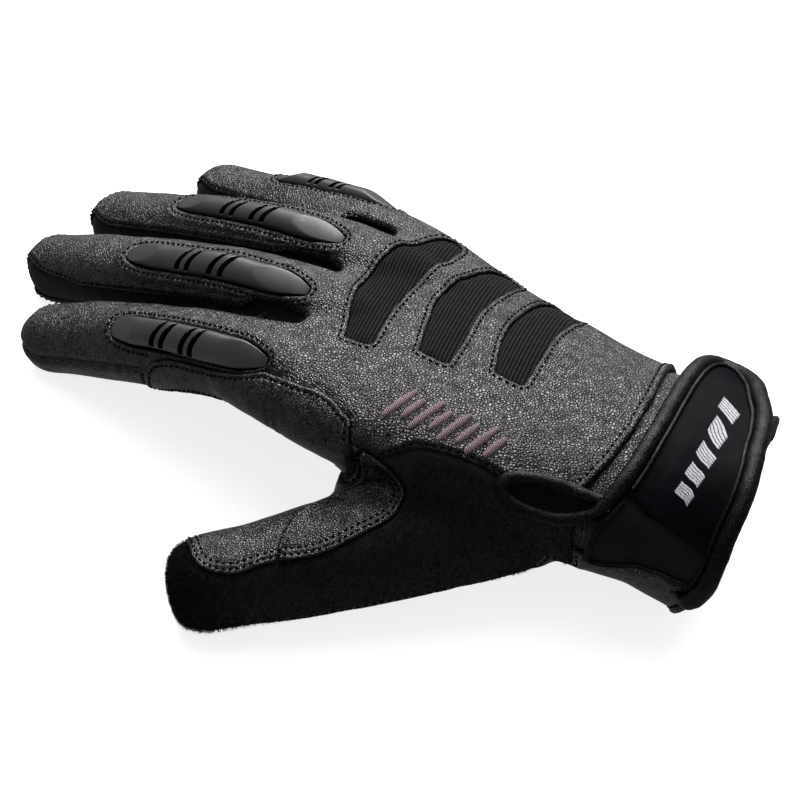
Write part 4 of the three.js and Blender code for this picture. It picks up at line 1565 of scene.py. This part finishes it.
# Ridges and grooves beside a border: height, distance from the border, half width
LAP_RIDGE = (0.22, 1.2, 1.0)
TURN_RIDGE = (0.22, 2.4, 1.4)
TURN_GROOVE = (-1.0, 0.0, 1.0)
TUCK_GROOVE = (-0.35, 0.0, 1.4)
GUARD_RIDGE = (0.5, 2.3, 1.5)
HEM_RIDGE = (0.7, 1.1, 1.3)
STITCH_GROOVE_DEPTH = 0.42
STITCH_GROOVE_HALF_WIDTH = 0.5
PATCH_PADDING = 0.9
PUCKER = 0.22
PUCKER_REACH = 2.6
PUCKER_SIZE = 2.1


def shape_edges(piece):
    """Laps, turned seams and stitched grooves along the borders of a piece."""
    own = level_of(piece.name)
    beyond = np.array([level_of(name) for name in piece.beyond])
    beyond = np.where(piece.beyond == "open", own - 1, beyond)
    step = own - beyond
    d = piece.distance
    lapped = ridge(d, *LAP_RIDGE) - 0.45 * np.clip(1 - d / 0.8, 0, 1) ** 2
    turned = ridge(d, *TURN_RIDGE) + ridge(d, *TURN_GROOVE)
    moved = np.where(step > 0.2, lapped, np.where(step < -0.2, ridge(d, *TUCK_GROOVE), turned))
    if piece.name == "flap_patch":
        moved += PATCH_PADDING * (1 - np.exp(-d / 3.0))
    moved += piece.beside("under_guard") * ridge(d, *GUARD_RIDGE)
    if piece.name == "hand_back":
        moved += piece.beside("cuff_band") * ridge(d, *HEM_RIDGE)
    for name, others, inset, _, _ in STITCH_ROWS:
        if piece.name == name:
            groove = ridge(d, -STITCH_GROOVE_DEPTH, inset, STITCH_GROOVE_HALF_WIDTH)
            moved += piece.beside(others) * groove
    pucker = PUCKER * np.exp(-d / PUCKER_REACH) * noise(piece.base, PUCKER_SIZE, 5)
    piece.raise_by(own + moved + pucker)


def rib_knit(piece):
    """Ribs of the knit, running along the window."""
    across = piece.base[:, :2] @ RIB_DIRECTION
    ribs = np.abs(np.sin(np.pi * across / RIB_PITCH)) ** 0.8
    swell = 0.5 * (1 - np.exp(-piece.distance / 4.0))
    in_window = smoothstep(0.1, 0.8, piece.distance)
    piece.raise_by(swell + RIB_DEPTH * (ribs - 0.6) * in_window)


CROSS_SEAM_STEP = 0.9
CROSS_SEAM_BEAD = (0.5, 0.9, 0.6)
CROSS_SEAM_GROOVE = (-1.0, -0.5, 0.5)


def cross_seam(piece):
    """The leather near the hand lies over the leather near the tip."""
    away = from_thumb_seam(piece.base)
    over = smoothstep(-0.2, 0.3, away) * np.exp(-np.maximum(away, 0) / 6.0)
    beside = ridge(away, *CROSS_SEAM_BEAD) + ridge(away, *CROSS_SEAM_GROOVE)
    piece.raise_by(CROSS_SEAM_STEP * over + beside)


# Two stitched channels down the side patch: places along, lean, depth, half width
SIDE_CHANNELS = (-17.6, -14.4)
SIDE_CHANNEL_LEAN = 0.135
SIDE_CHANNEL_DEPTH = 0.45
SIDE_CHANNEL_HALF_WIDTH = 0.6


def channels(piece):
    x, _, z = piece.base.T
    along = x + SIDE_CHANNEL_LEAN * (z - 45)
    for place in SIDE_CHANNELS:
        piece.raise_by(ridge(along, -SIDE_CHANNEL_DEPTH, place, SIDE_CHANNEL_HALF_WIDTH))


for piece in pieces.values():
    shape_edges(piece)
    if piece.name.startswith("flex_panel"):
        rib_knit(piece)
    if piece.name == "thumb_patch":
        cross_seam(piece)
    if piece.name == "index_side_patch":
        channels(piece)
    keep_above_floor(piece.points)
    piece.tidy_normals()


def stitch_parts(piece):
    parts = []
    for name, others, inset, pitch, length in STITCH_ROWS:
        if piece.name == name:
            lines = contour(piece, piece.distance, inset, piece.beside(others))
            parts += stitches(lines, pitch, length)
    return parts


PIECE_LOOKS = {
    "hand_back": "leather",
    "palm": "leather",
    "cuff_band": "leather",
    "thumb_back": "terry_cloth",
    "thumb_patch": "patch_leather",
    "index_side_patch": "patch_leather",
    "fourchette": "stretch_cloth",
    "flex_panel": "ribbed_knit",
    "flap_patch": "satin_cloth",
    "flap_body": "stretch_cloth",
}


def look_of(name):
    return next(look for prefix, look in PIECE_LOOKS.items() if name.startswith(prefix))


def thin_lining(obj, piece):
    """Leaves most triangles out of the inside of a shell, away from its rim."""
    count = len(piece.points)
    lining = np.setdiff1d(np.arange(count), piece.rim) + count
    group = obj.vertex_groups.new(name="lining")
    group.add(lining.tolist(), 1.0, "REPLACE")
    fewer = obj.modifiers.new("fewer", "DECIMATE")
    fewer.vertex_group = group.name
    fewer.ratio = 1 - LINING_LEFT_OUT * len(piece.triangles) / len(obj.data.polygons)
    thinned = final_mesh(obj)
    obj.modifiers.clear()
    obj.data = thinned


def add_trim(name, mesh, look, slot, *replaced):
    """A piece that is all of one look, from its points and faces."""
    make_object(name, *mesh, [looks[look]], slot, replaced)


def add_piece(piece, thickness=WALL):
    """Makes the closed shell of a piece and its stitches as one object each."""
    look = look_of(piece.name)
    shell, faces, kinds = piece.shell(thickness)
    keep_above_floor(shell)
    inside = looks["stretch_cloth" if look == "stretch_cloth" else "lining"]
    obj = make_object(
        piece.name + "_cloth", shell, faces, [looks[look], inside], look,
        [piece.name], kinds,
    )
    thin_lining(obj, piece)
    parts = stitch_parts(piece)
    if parts:
        add_trim(piece.name + "_stitches", joined(parts), "thread", look)


for piece in pieces.values():
    add_piece(piece)


# Knuckle guards: moulded rubber with a flat facet at each end and two pairs of slits

GUARD_DOME = 2.5
GUARD_SUNK = 1.6
GUARD_SLITS = (0.36, 0.42, 0.545, 0.605)
GUARD_SLIT_HALF_WIDTH = 0.82
GUARD_SLIT_SLANT = 2.0
GUARD_SLIT_DEPTH = 1.3
FACET_LEAN = 0.25
REAR_FACET_START, REAR_FACET_DROP = 0.735, 1.1
FRONT_FACET_START, FRONT_FACET_DROP = 0.8, 1.0
GUARD_ROWS = 241
GUARD_COLUMNS = 23


RAY_START = 80


def on_skin(tree, spots, direction=(0, 0, -1)):
    """Where rays over the plan spots meet a surface: points and normals."""
    direction = Vector(direction).normalized()
    places = []
    normals = []
    for spot in spots:
        start = Vector(spot) - direction * RAY_START
        place, normal, _, _ = tree.ray_cast(start, direction)
        if place is None:
            place, normal, _, _ = tree.find_nearest(Vector(spot))
        places.append(place)
        normals.append(normal)
    return np.array(places), np.array(normals)


def facet(t, s, start, drop):
    """Height of a flat facet that falls from the start to the end of a guard."""
    fallen = np.clip((t - start) / (1 - start), 0, 1)
    return GUARD_DOME * (1.03 - fallen * drop) + FACET_LEAN * s


def guard_mesh(name):
    """A guard laid on the skin, with the insides of its slits marked for a black material that is
    painted shade.
    """
    start, length, along, side, inwards = guard_plane(name)
    outline = smooth_rows(GUARD_OUTLINE, 8)
    t = np.linspace(0, 1, GUARD_ROWS)
    s = np.sin(np.linspace(-0.5, 0.5, GUARD_COLUMNS) * math.pi)
    half = np.interp(t, outline[:, 0], outline[:, 1]) * GUARD_HALF_WIDTH
    t_grid, s_grid = np.meshgrid(t, s, indexing="ij")
    # Between the facets the rows of the grid slant as the slits do
    slanted = smoothstep(0.14, 0.33, t_grid) * (1 - smoothstep(0.63, 0.8, t_grid))
    reach = t_grid * length + GUARD_SLIT_SLANT * s_grid * slanted
    across = half[:, None] * s_grid
    flat = start + reach[..., None] * along + across[..., None] * side
    base, _ = on_skin(skin_tree, flat.reshape(-1, 3), inwards)
    # The rubber follows the skin's broad form, not its small unevenness
    depth = evened(((base - start) @ inwards).reshape(t_grid.shape), 40)
    base = flat + depth[..., None] * inwards
    normal = unit(np.cross(np.gradient(base, axis=0), np.gradient(base, axis=1)))
    normal *= -np.sign(normal @ inwards)[..., None]
    dome = GUARD_DOME * (1 - np.abs(s_grid) ** 2.6) ** 0.6
    rear = facet(t_grid, s_grid, REAR_FACET_START, REAR_FACET_DROP)
    front = facet(1 - t_grid, s_grid, FRONT_FACET_START, FRONT_FACET_DROP)
    height = np.minimum(dome, np.minimum(rear, front))
    slit = np.zeros_like(height)
    for place in GUARD_SLITS:
        away = np.abs(t_grid - place) * length
        narrow = GUARD_SLIT_HALF_WIDTH * (1 - 0.55 * smoothstep(0.0, 0.9, s_grid))
        inside = 1 - smoothstep(0.85 * narrow, 1.15 * narrow, away)
        slit = np.maximum(slit, inside * (1 - smoothstep(0.8, 0.93, np.abs(s_grid))))
    height = height - GUARD_SLIT_DEPTH * slit
    top = base + normal * height[..., None]
    bottom = base - normal * GUARD_SUNK
    # Cells inside the slits get the black material: painted shade in the grooves.
    marked = np.maximum(slit[:-1, :-1], slit[1:, 1:]) > 0.12
    return grid_block(top, bottom, marked)


def grid_block(top, bottom, marked):
    """A closed block between two grids, with the marked cells of the top as kind 1."""
    rows, columns = top.shape[:2]
    total = rows * columns
    number = np.arange(total).reshape(rows, columns)
    upper = grid_faces(rows, columns)
    lower = upper[:, ::-1] + total
    loop = np.concatenate([
        number[:-1, 0], number[-1, :-1], number[:0:-1, -1], number[0, :0:-1],
    ])
    following = np.roll(loop, -1)
    wall = np.vstack([
        np.stack([following, loop, loop + total], 1),
        np.stack([following, loop + total, following + total], 1),
    ])
    faces = np.vstack([upper, lower, wall])
    kinds = np.zeros(len(faces), int)
    kinds[:len(upper)] = np.tile(marked.ravel(), 2)
    points = np.vstack([top.reshape(-1, 3), bottom.reshape(-1, 3)])
    a, b, c = points[upper[0]]
    if np.cross(b - a, c - a) @ (points[0] - points[total]) < 0:
        faces = faces[:, ::-1]
    return points, faces, kinds


for name in GUARDS:
    *guard, guard_kinds = guard_mesh(name)
    make_object(
        name + "_rubber", *guard, [looks["guard_rubber"], looks["guard_slit"]],
        "guard_rubber", [name], guard_kinds, smooth=False,
    )


# The closing flap, cut from a smooth layer over the cuff

FLAP_LOW_X, FLAP_HIGH_X = 64.0, 116.0
FLAP_LOW_TURN, FLAP_HIGH_TURN = 18.0, 188.0
FLAP_TURN_RADIUS = 30.0
FLAP_END_RISE = 3.0
FLAP_BORDER_INSET = 1.6
FLAP_CLEARANCE = 0.3
INSIDE_CUFF = np.array([90.0, 5.0, 25.0])


def unrolled(rows):
    """Along and turn of a path as flat millimetres."""
    table = np.array(rows, float)
    return np.stack([table[:, 0] * PALM_LENGTH, np.radians(table[:, 1]) * FLAP_TURN_RADIUS], 1)


def flap_surface():
    """A flat grid that covers the flap: points and triangles."""
    columns = int((FLAP_HIGH_X - FLAP_LOW_X) / FLAP_STEP)
    arc = math.radians(FLAP_HIGH_TURN - FLAP_LOW_TURN) * FLAP_TURN_RADIUS
    rows = int(arc / FLAP_STEP)
    x = np.linspace(FLAP_LOW_X, FLAP_HIGH_X, columns)
    turn = np.linspace(FLAP_LOW_TURN, FLAP_HIGH_TURN, rows)
    x_grid, turn_grid = np.meshgrid(x, turn, indexing="ij")
    flat = np.stack([x_grid.ravel(), np.radians(turn_grid.ravel()) * FLAP_TURN_RADIUS,
                     np.zeros(x_grid.size)], 1)
    return flat, grid_faces(*x_grid.shape)


def flap_rise(turn):
    """How far the round end of the flap stands off the glove."""
    return FLAP_END_RISE * (1 - smoothstep(34, 96, turn))


def flap_lift(flat):
    """Points of the flat grid laid over the cuff."""
    turn = np.degrees(flat[:, 1] / FLAP_TURN_RADIUS)
    return on_hand(flat[:, 0], turn, FLAP_CLEARANCE + FLAP_THICKNESS + flap_rise(turn))


def flap_outline():
    """The piping's path, closed below the root of the flap."""
    path = smooth_rows(unrolled(FLAP_PIPING_PATH), 6)
    root = np.array([[path[-1, 0], path[-1, 1] + 12], [path[0, 0], path[0, 1] + 18]])
    return np.vstack([path, root])


def off_flap_field(flat):
    inside = inside_by(flat[:, 0], flat[:, 1], flap_outline()) - FLAP_BORDER_INSET
    root = flap_lift(flat)[:, 2] - FLAP_ROOT_HEIGHT * PALM_HEIGHT
    return -np.minimum(inside, root)


def flap_patch_field(flat):
    place = flap_lift(flat)
    line = plan(FLAP_PATCH_LINE)
    return place[:, 1] - np.interp(place[:, 0], line[:, 0], line[:, 1])


flat_points, flap_triangles = flap_surface()
flap_labels = np.full(len(flap_triangles), "", "U40")
flap = (flat_points, flap_triangles, flap_labels, np.zeros(len(flat_points), bool))
flap = cut_out(flap, off_flap_field, "off")
flap = cut_out(flap, flap_patch_field, "flap_patch")
flat_points, flap_triangles, flap_labels, _ = flap
flap_labels = np.where(flap_labels == "", "flap_body", flap_labels)
flap_points = flap_lift(flat_points)
flap_normals = vertex_normals(flap_points, flap_triangles)
if (flap_normals * (flap_points - INSIDE_CUFF)).sum() < 0:
    flap_triangles = flap_triangles[:, ::-1]
    flap_normals = -flap_normals
kept = flap_labels != "off"
flap_triangles, flap_labels = flap_triangles[kept], flap_labels[kept]
flap_borders = border_edges(flap_triangles, flap_labels, len(flap_points))
for name in ("flap_patch", "flap_body"):
    piece = Piece(name, flap_points, flap_normals, flap_triangles, flap_labels, flap_borders)
    piece.raise_by(0.25 * noise(piece.base, 9.0, 7))
    shape_edges(piece)
    piece.tidy_normals()
    add_piece(piece, FLAP_THICKNESS)
    pieces[name] = piece


def even_path(centres, ups, pitch=PATH_PITCH):
    """The same path with evenly spaced points."""
    along = travelled_along(centres)
    at = np.linspace(0, along[-1], int(along[-1] / pitch))
    return columns_at(at, along, centres), unit(columns_at(at, along, ups)), at


WRINKLES = 0.06
# Contour lines with fewer points than these are crumbs
SHORTEST_ROLL = 20
SHORTEST_ALLOWANCE = 8


def wrinkled(radius, centres):
    uneven = noise(centres, 5.0, 9) + 0.5 * noise(centres, 1.6, 4)
    return radius * (1 + WRINKLES * uneven)


def path_on_hand(path, offset, rise=np.zeros_like):
    """Centres and up directions of a path over the hand."""
    rows = smooth_rows(np.array(path) * [PALM_LENGTH, 1], 12)
    offset = offset + rise(rows[:, 1])
    centres = on_hand(rows[:, 0], rows[:, 1], offset)
    ups = unit(on_hand(rows[:, 0], rows[:, 1], offset + 2.0) - centres)
    return centres, ups


def flap_piping():
    centres, ups = path_on_hand(FLAP_PIPING_PATH, PIPING_RADIUS + 0.5, flap_rise)
    centres[:, 2] = np.maximum(centres[:, 2], PIPING_RADIUS + 0.1)
    centres, ups, at = even_path(centres, ups)
    sunk = PIPING_END_SUNK * smoothstep(at[-1] - 9, at[-1] - 1, at)
    centres = centres - ups * sunk[:, None]
    taper = 0.6 + 0.4 * smoothstep(0, 16, at)
    taper = taper * (1 - 0.45 * smoothstep(at[-1] - 12, at[-1], at))
    return sweep(centres, ups, wrinkled(PIPING_RADIUS * taper, centres), 20, 0.92)


def slit_binding():
    """The loop lies on the skin, its ends under the flap's piping."""
    centres, ups = path_on_hand(SLIT_BINDING_PATH, 1.2)
    for i in range(len(centres)):
        start = Vector(centres[i] + 12 * ups[i])
        place, _, _, _ = skin_tree.ray_cast(start, -Vector(ups[i]))
        if place is not None:
            lift = (np.array(place) - centres[i]) @ ups[i]
            centres[i] += ups[i] * (np.clip(lift, -1.5, 4.0) + 0.55 * SLIT_BINDING_RADIUS)
    centres, ups, _ = even_path(evened(centres, 14), ups)
    return sweep(centres, ups, wrinkled(SLIT_BINDING_RADIUS, centres), 18, 0.95)


add_trim("flap_piping_roll", flap_piping(), "rolled_leather", "rolled_leather", "flap_piping")
add_trim("slit_binding_roll", slit_binding(), "rolled_leather", "rolled_leather", "slit_binding")


def inner_rib():
    """The thin rib of folded leather inside the piping."""
    parts = []
    for name in ("flap_patch", "flap_body"):
        piece = pieces[name]
        for line in contour(piece, piece.distance, 1.25, piece.beside("open")):
            if len(line) > SHORTEST_ROLL:
                ups = unit(line[:, 3:])
                centres = evened(line[:, :3] + 0.35 * ups, 10)
                parts.append(sweep(centres, ups, PIPING_RIB_RADIUS, 10))
    return joined(parts)


add_trim("flap_rib", inner_rib(), "rolled_leather", "rolled_leather")


# The rolled edge round the mouth of the cuff

MOUTH_ROLL_RADIUS = 1.1


def mouth_roll():
    parts = []
    for name in ("cuff_band", "palm"):
        piece = pieces[name]
        for line in contour(piece, piece.distance, 0.6, piece.beside("open")):
            if len(line) > SHORTEST_ROLL:
                centres = evened(line[:, :3] - 0.5 * line[:, 3:], 8)
                centres[:, 2] = np.maximum(centres[:, 2], MOUTH_ROLL_RADIUS + 0.1)
                parts.append(sweep(centres, unit(line[:, 3:]), MOUTH_ROLL_RADIUS, 12))
    return joined(parts)


add_trim("cuff_mouth_roll", mouth_roll(), "rolled_leather", "rolled_leather")


# Seam allowances: strips that lie inside the glove under its lapped seams and close them

ALLOWANCE_HALF_WIDTH = 1.5
ALLOWANCE_FLATNESS = 0.32
ALLOWANCE_DEPTH = 2.5
ALLOWANCE_PITCH = 1.0


def lapped_lines(name, piece):
    """Lines just inside the borders where a piece lies over a lower one."""
    lower = [other for other in np.unique(piece.beyond) if other in pieces
             and level_of(other) < level_of(name) - 0.05]
    if not lower:
        return []
    lines = contour(piece, piece.distance, 0.5, piece.beside(*lower))
    return [line for line in lines if len(line) >= SHORTEST_ALLOWANCE]


def seam_allowances():
    parts = []
    for name, piece in pieces.items():
        if name.startswith("flap") or name == "hand_back":
            continue
        for line in lapped_lines(name, piece):
            ups = unit(line[:, 3:])
            under = line[:, :3] - ALLOWANCE_DEPTH * ups
            centres, ups, _ = even_path(under, ups, ALLOWANCE_PITCH)
            if len(centres) < 4:
                continue
            centres[:, 2] = np.maximum(centres[:, 2], ALLOWANCE_DEPTH)
            parts.append(sweep(centres, ups, ALLOWANCE_HALF_WIDTH, 8, ALLOWANCE_FLATNESS))
    return joined(parts)


add_trim("seam_allowances", seam_allowances(), "stretch_cloth", "leather")


# Mauve satin-stitch bars on the back of the hand

BAR_COUNT = 8
BAR_START = np.array([17.5, -30.0])
BAR_PITCH = 4.0
BAR_LENGTHS = (11.5, 7.5)
BAR_HALF_WIDTH = 1.25
BAR_DIRECTION = unit(np.array([0.42, 0.9]))
BAR_THREAD_PITCH = 0.5
BAR_THREAD_RADIUS = 0.27
BAR_THREAD_SUNK = 0.4
OVER_HAND = 60.0


def satin_bars():
    """Slanted bars of satin stitch, each a row of threads across it."""
    tree = surface_tree(pieces["hand_back"].points, pieces["hand_back"].triangles)
    rng = np.random.default_rng(5)
    parts = []
    for i in range(BAR_COUNT):
        length = BAR_LENGTHS[i % len(BAR_LENGTHS)]
        centre = BAR_START + [i * BAR_PITCH, 0.25 * i]
        at = np.arange(-length / 2, length / 2, BAR_THREAD_PITCH)
        flat = centre + at[:, None] * BAR_DIRECTION
        spots = np.column_stack([flat, np.full(len(flat), OVER_HAND)])
        places, normals = on_skin(tree, spots)
        bar = unit(places[-1] - places[0])
        across = unit(np.cross(normals, bar) + 0.3 * bar)
        for k, share in enumerate(at / length):
            narrowed = 1 - 0.5 * (2 * abs(share)) ** 3
            width = 2 * BAR_HALF_WIDTH * narrowed * rng.uniform(0.92, 1.1)
            thread = thread_shape(width, BAR_THREAD_RADIUS, BAR_THREAD_SUNK)
            row = slice(k, k + 1)
            raised = places[row] + 0.1 * normals[row]
            parts += threads_at(raised, across[row], normals[row], *thread)
    return joined(parts)


add_trim("hand_back_bars", satin_bars(), "mauve_thread", "leather")


# Silver reflective bars on the closing flap, each of fine stripes: along, turn
PRINT_PLACES = [(0.846, 80), (0.858, 91), (0.87, 102), (0.882, 113), (0.894, 124)]
PRINT_HALF_LENGTH = 3.8
PRINT_HALF_WIDTH = 1.75
PRINT_SLANT = 0.5
PRINT_STRIPES = 5
PRINT_STRIPE_SHARE = 0.82
PRINT_THICKNESS = 0.12
PRINT_COLUMNS, PRINT_ROWS = 4, 10
OVER_FLAP = 8.0


def print_bars():
    """Thin stripes laid on the satin patch, five to a bar."""
    tree = surface_tree(pieces["flap_patch"].points, pieces["flap_patch"].triangles)
    parts = []
    for (along, turn), stripe in product(PRINT_PLACES, range(PRINT_STRIPES)):
        middle = (2 * stripe + 1) / PRINT_STRIPES - 1
        reach = PRINT_STRIPE_SHARE / PRINT_STRIPES
        across = middle + reach * np.linspace(-1, 1, PRINT_COLUMNS + 1)
        v, u = np.meshgrid(across, np.linspace(-1, 1, PRINT_ROWS + 1), indexing="ij")
        x = along * PALM_LENGTH + u * PRINT_HALF_LENGTH
        arc = v * PRINT_HALF_WIDTH + PRINT_SLANT * u * PRINT_HALF_LENGTH
        turns = turn + np.degrees(arc / FLAP_TURN_RADIUS)
        over = on_hand(x.ravel(), turns.ravel(), OVER_FLAP)
        found = [tree.find_nearest(Vector(spot))[:2] for spot in over]
        place = np.array([hit[0] for hit in found])
        normal = np.array([hit[1] for hit in found])
        top = (place + PRINT_THICKNESS * normal).reshape(*u.shape, 3)
        bottom = (place - PRINT_THICKNESS * normal).reshape(*u.shape, 3)
        parts.append(grid_block(top, bottom, np.zeros((PRINT_COLUMNS, PRINT_ROWS), bool))[:2])
    return joined(parts)


add_trim("flap_patch_bars", print_bars(), "print", "satin_cloth")


# Loose threads of the terry cloth

FUZZ_COUNT = 12000
FUZZ_LENGTH = 0.75
FUZZ_TIP_LENGTH = 0.9
FUZZ_RADIUS = 0.09
FUZZ_LEAN = 0.45
FUZZ_BEND = 0.7
FUZZ_KNEE = 0.55
THUMB_TIP = np.array([-26.0, -84.0, 12.0])
# No loose threads in the crotch of the thumb, below this x and above this y
CROTCH_END = (28.0, -54.0)
FUZZ_FACES = np.array([
    (0, 2, 1), (0, 1, 4), (0, 4, 3), (1, 2, 5), (1, 5, 4), (2, 0, 3), (2, 3, 5),
    (3, 4, 6), (4, 5, 6), (5, 3, 6),
])


def fuzz():
    """Short bent threads with three sides each, thicker set and longer near the tip."""
    piece = pieces["thumb_back"]
    rng = np.random.default_rng(11)
    a, b, c = (piece.points[piece.triangles[:, k]] for k in range(3))
    area = np.linalg.norm(np.cross(b - a, c - a), axis=1)
    near_tip = 1 - smoothstep(10, 30, np.linalg.norm(a - THUMB_TIP, axis=1))
    weight = area * (1 + 2.0 * near_tip)
    weight = np.where((a[:, 0] < CROTCH_END[0]) & (a[:, 1] > CROTCH_END[1]), 0, weight)
    chosen = rng.choice(len(area), FUZZ_COUNT, p=weight / weight.sum())
    share = np.sort(rng.random((FUZZ_COUNT, 2)), axis=1)
    corners = piece.points[piece.triangles[chosen]]
    weights = np.column_stack([share[:, 0], share[:, 1] - share[:, 0], 1 - share[:, 1]])
    root = (corners * weights[..., None]).sum(1)
    normal = piece.normals[piece.triangles[chosen, 0]]
    lean = rng.normal(0, FUZZ_LEAN, (FUZZ_COUNT, 3))
    heading = unit(normal + lean)
    length = FUZZ_LENGTH * (0.5 + rng.random(FUZZ_COUNT)) + FUZZ_TIP_LENGTH * near_tip[chosen]
    length = np.where(root[:, 2] < 2.0, 0.3, length)
    side = unit(np.cross(heading, rng.normal(0, 1, (FUZZ_COUNT, 3))))
    other = np.cross(heading, side)
    bent = unit(heading + FUZZ_BEND * side)
    rings = []
    for height, radius in ((-0.2, 1.0), (FUZZ_KNEE, 0.8)):
        middle = root + heading * (height * length)[:, None]
        for k in range(3):
            turn = 2 * math.pi * k / 3
            out = side * math.cos(turn) + other * math.sin(turn)
            rings.append(middle + FUZZ_RADIUS * radius * out)
    tip = root + heading * (FUZZ_KNEE * length)[:, None]
    tip += bent * ((1 - FUZZ_KNEE) * length)[:, None]
    points = np.stack([*rings, tip], 1).reshape(-1, 3)
    faces = (np.arange(FUZZ_COUNT)[:, None, None] * 7 + FUZZ_FACES).reshape(-1, 3)
    keep_above_floor(points)
    return points, faces


add_trim("thumb_back_fuzz", fuzz(), "terry_cloth", "terry_cloth")


# Floor, light and camera

FLOOR_SIZE = 4.0
FLOOR_GLOW = 0.8
WORLD_STRENGTH = 0.28

# Area lights: name, place, target, size, power
LIGHTS = [
    ("key", (-0.2, 0.65, 0.8), (0, 0, 0.02), (0.9, 0.5), 24),
    ("top", (-0.2, 0.2, 1.1), (0, 0, 0.0), (0.8, 0.8), 6),
    ("back", (-0.4, 1.0, 0.5), (0, 0, 0.03), (1.2, 0.4), 7),
]


def floor():
    mesh = bpy.data.meshes.new("floor")
    ends = ((-1, -1), (1, -1), (1, 1), (-1, 1))
    corners = [(x * FLOOR_SIZE, y * FLOOR_SIZE, 0) for x, y in ends]
    mesh.from_pydata(corners, [], [(0, 1, 2, 3)])
    n = Nodes("floor")
    speck = n.texture("TexNoise", 3.0)
    colour = n.ramp(speck.outputs["Fac"], [(0.4, (0.58, 0.58, 0.58)), (0.6, (0.6, 0.6, 0.6))])
    # Lit from below as well, as a photographer's table is, so that no hard shadow shows
    mesh.materials.append(n.finish(colour, 0.8, Specular_IOR_Level=0.0,
                                   Emission_Color=(1, 1, 1, 1), Emission_Strength=FLOOR_GLOW))
    obj = placed("floor", mesh)
    obj.visible_glossy = False


def area_light(name, place, target, size, power):
    data = bpy.data.lights.new(name, "AREA")
    data.shape = "RECTANGLE"
    data.size, data.size_y = size
    data.energy = power
    obj = placed(name, data)
    obj.location = place
    obj.rotation_mode = "QUATERNION"
    obj.rotation_quaternion = (Vector(target) - Vector(place)).to_track_quat("-Z", "Y")


CAMERA_AZIMUTH = math.radians(30)
CAMERA_ELEVATION = math.radians(45)
CAMERA_DISTANCE = 0.7
CAMERA_TARGET = Vector((0.01236, 0.00911, 0.022))
PHOTO_FOCAL_PIXELS = 2440
PHOTO_PIXELS = 800
SENSOR = 36.0


def camera():
    data = bpy.data.cameras.new("camera")
    data.sensor_width = SENSOR
    data.lens = SENSOR * PHOTO_FOCAL_PIXELS / PHOTO_PIXELS
    data.clip_start, data.clip_end = 0.01, 20
    obj = placed("camera", data)
    a, e = CAMERA_AZIMUTH, CAMERA_ELEVATION
    back = Vector((math.sin(a) * math.cos(e), -math.cos(a) * math.cos(e), math.sin(e)))
    obj.location = CAMERA_TARGET + back * CAMERA_DISTANCE
    obj.rotation_mode = "QUATERNION"
    obj.rotation_quaternion = (-back).to_track_quat("-Z", "Y")
    bpy.context.scene.camera = obj


def surroundings():
    world = bpy.data.worlds.new("studio")
    bpy.context.scene.world = world
    world.use_nodes = True
    background = world.node_tree.nodes["Background"]
    background.inputs["Color"].default_value = (1.0, 1.0, 1.0, 1)
    background.inputs["Strength"].default_value = WORLD_STRENGTH
    bpy.context.scene.view_settings.view_transform = "Standard"


floor()
for row in LIGHTS:
    area_light(*row)
camera()
surroundings()
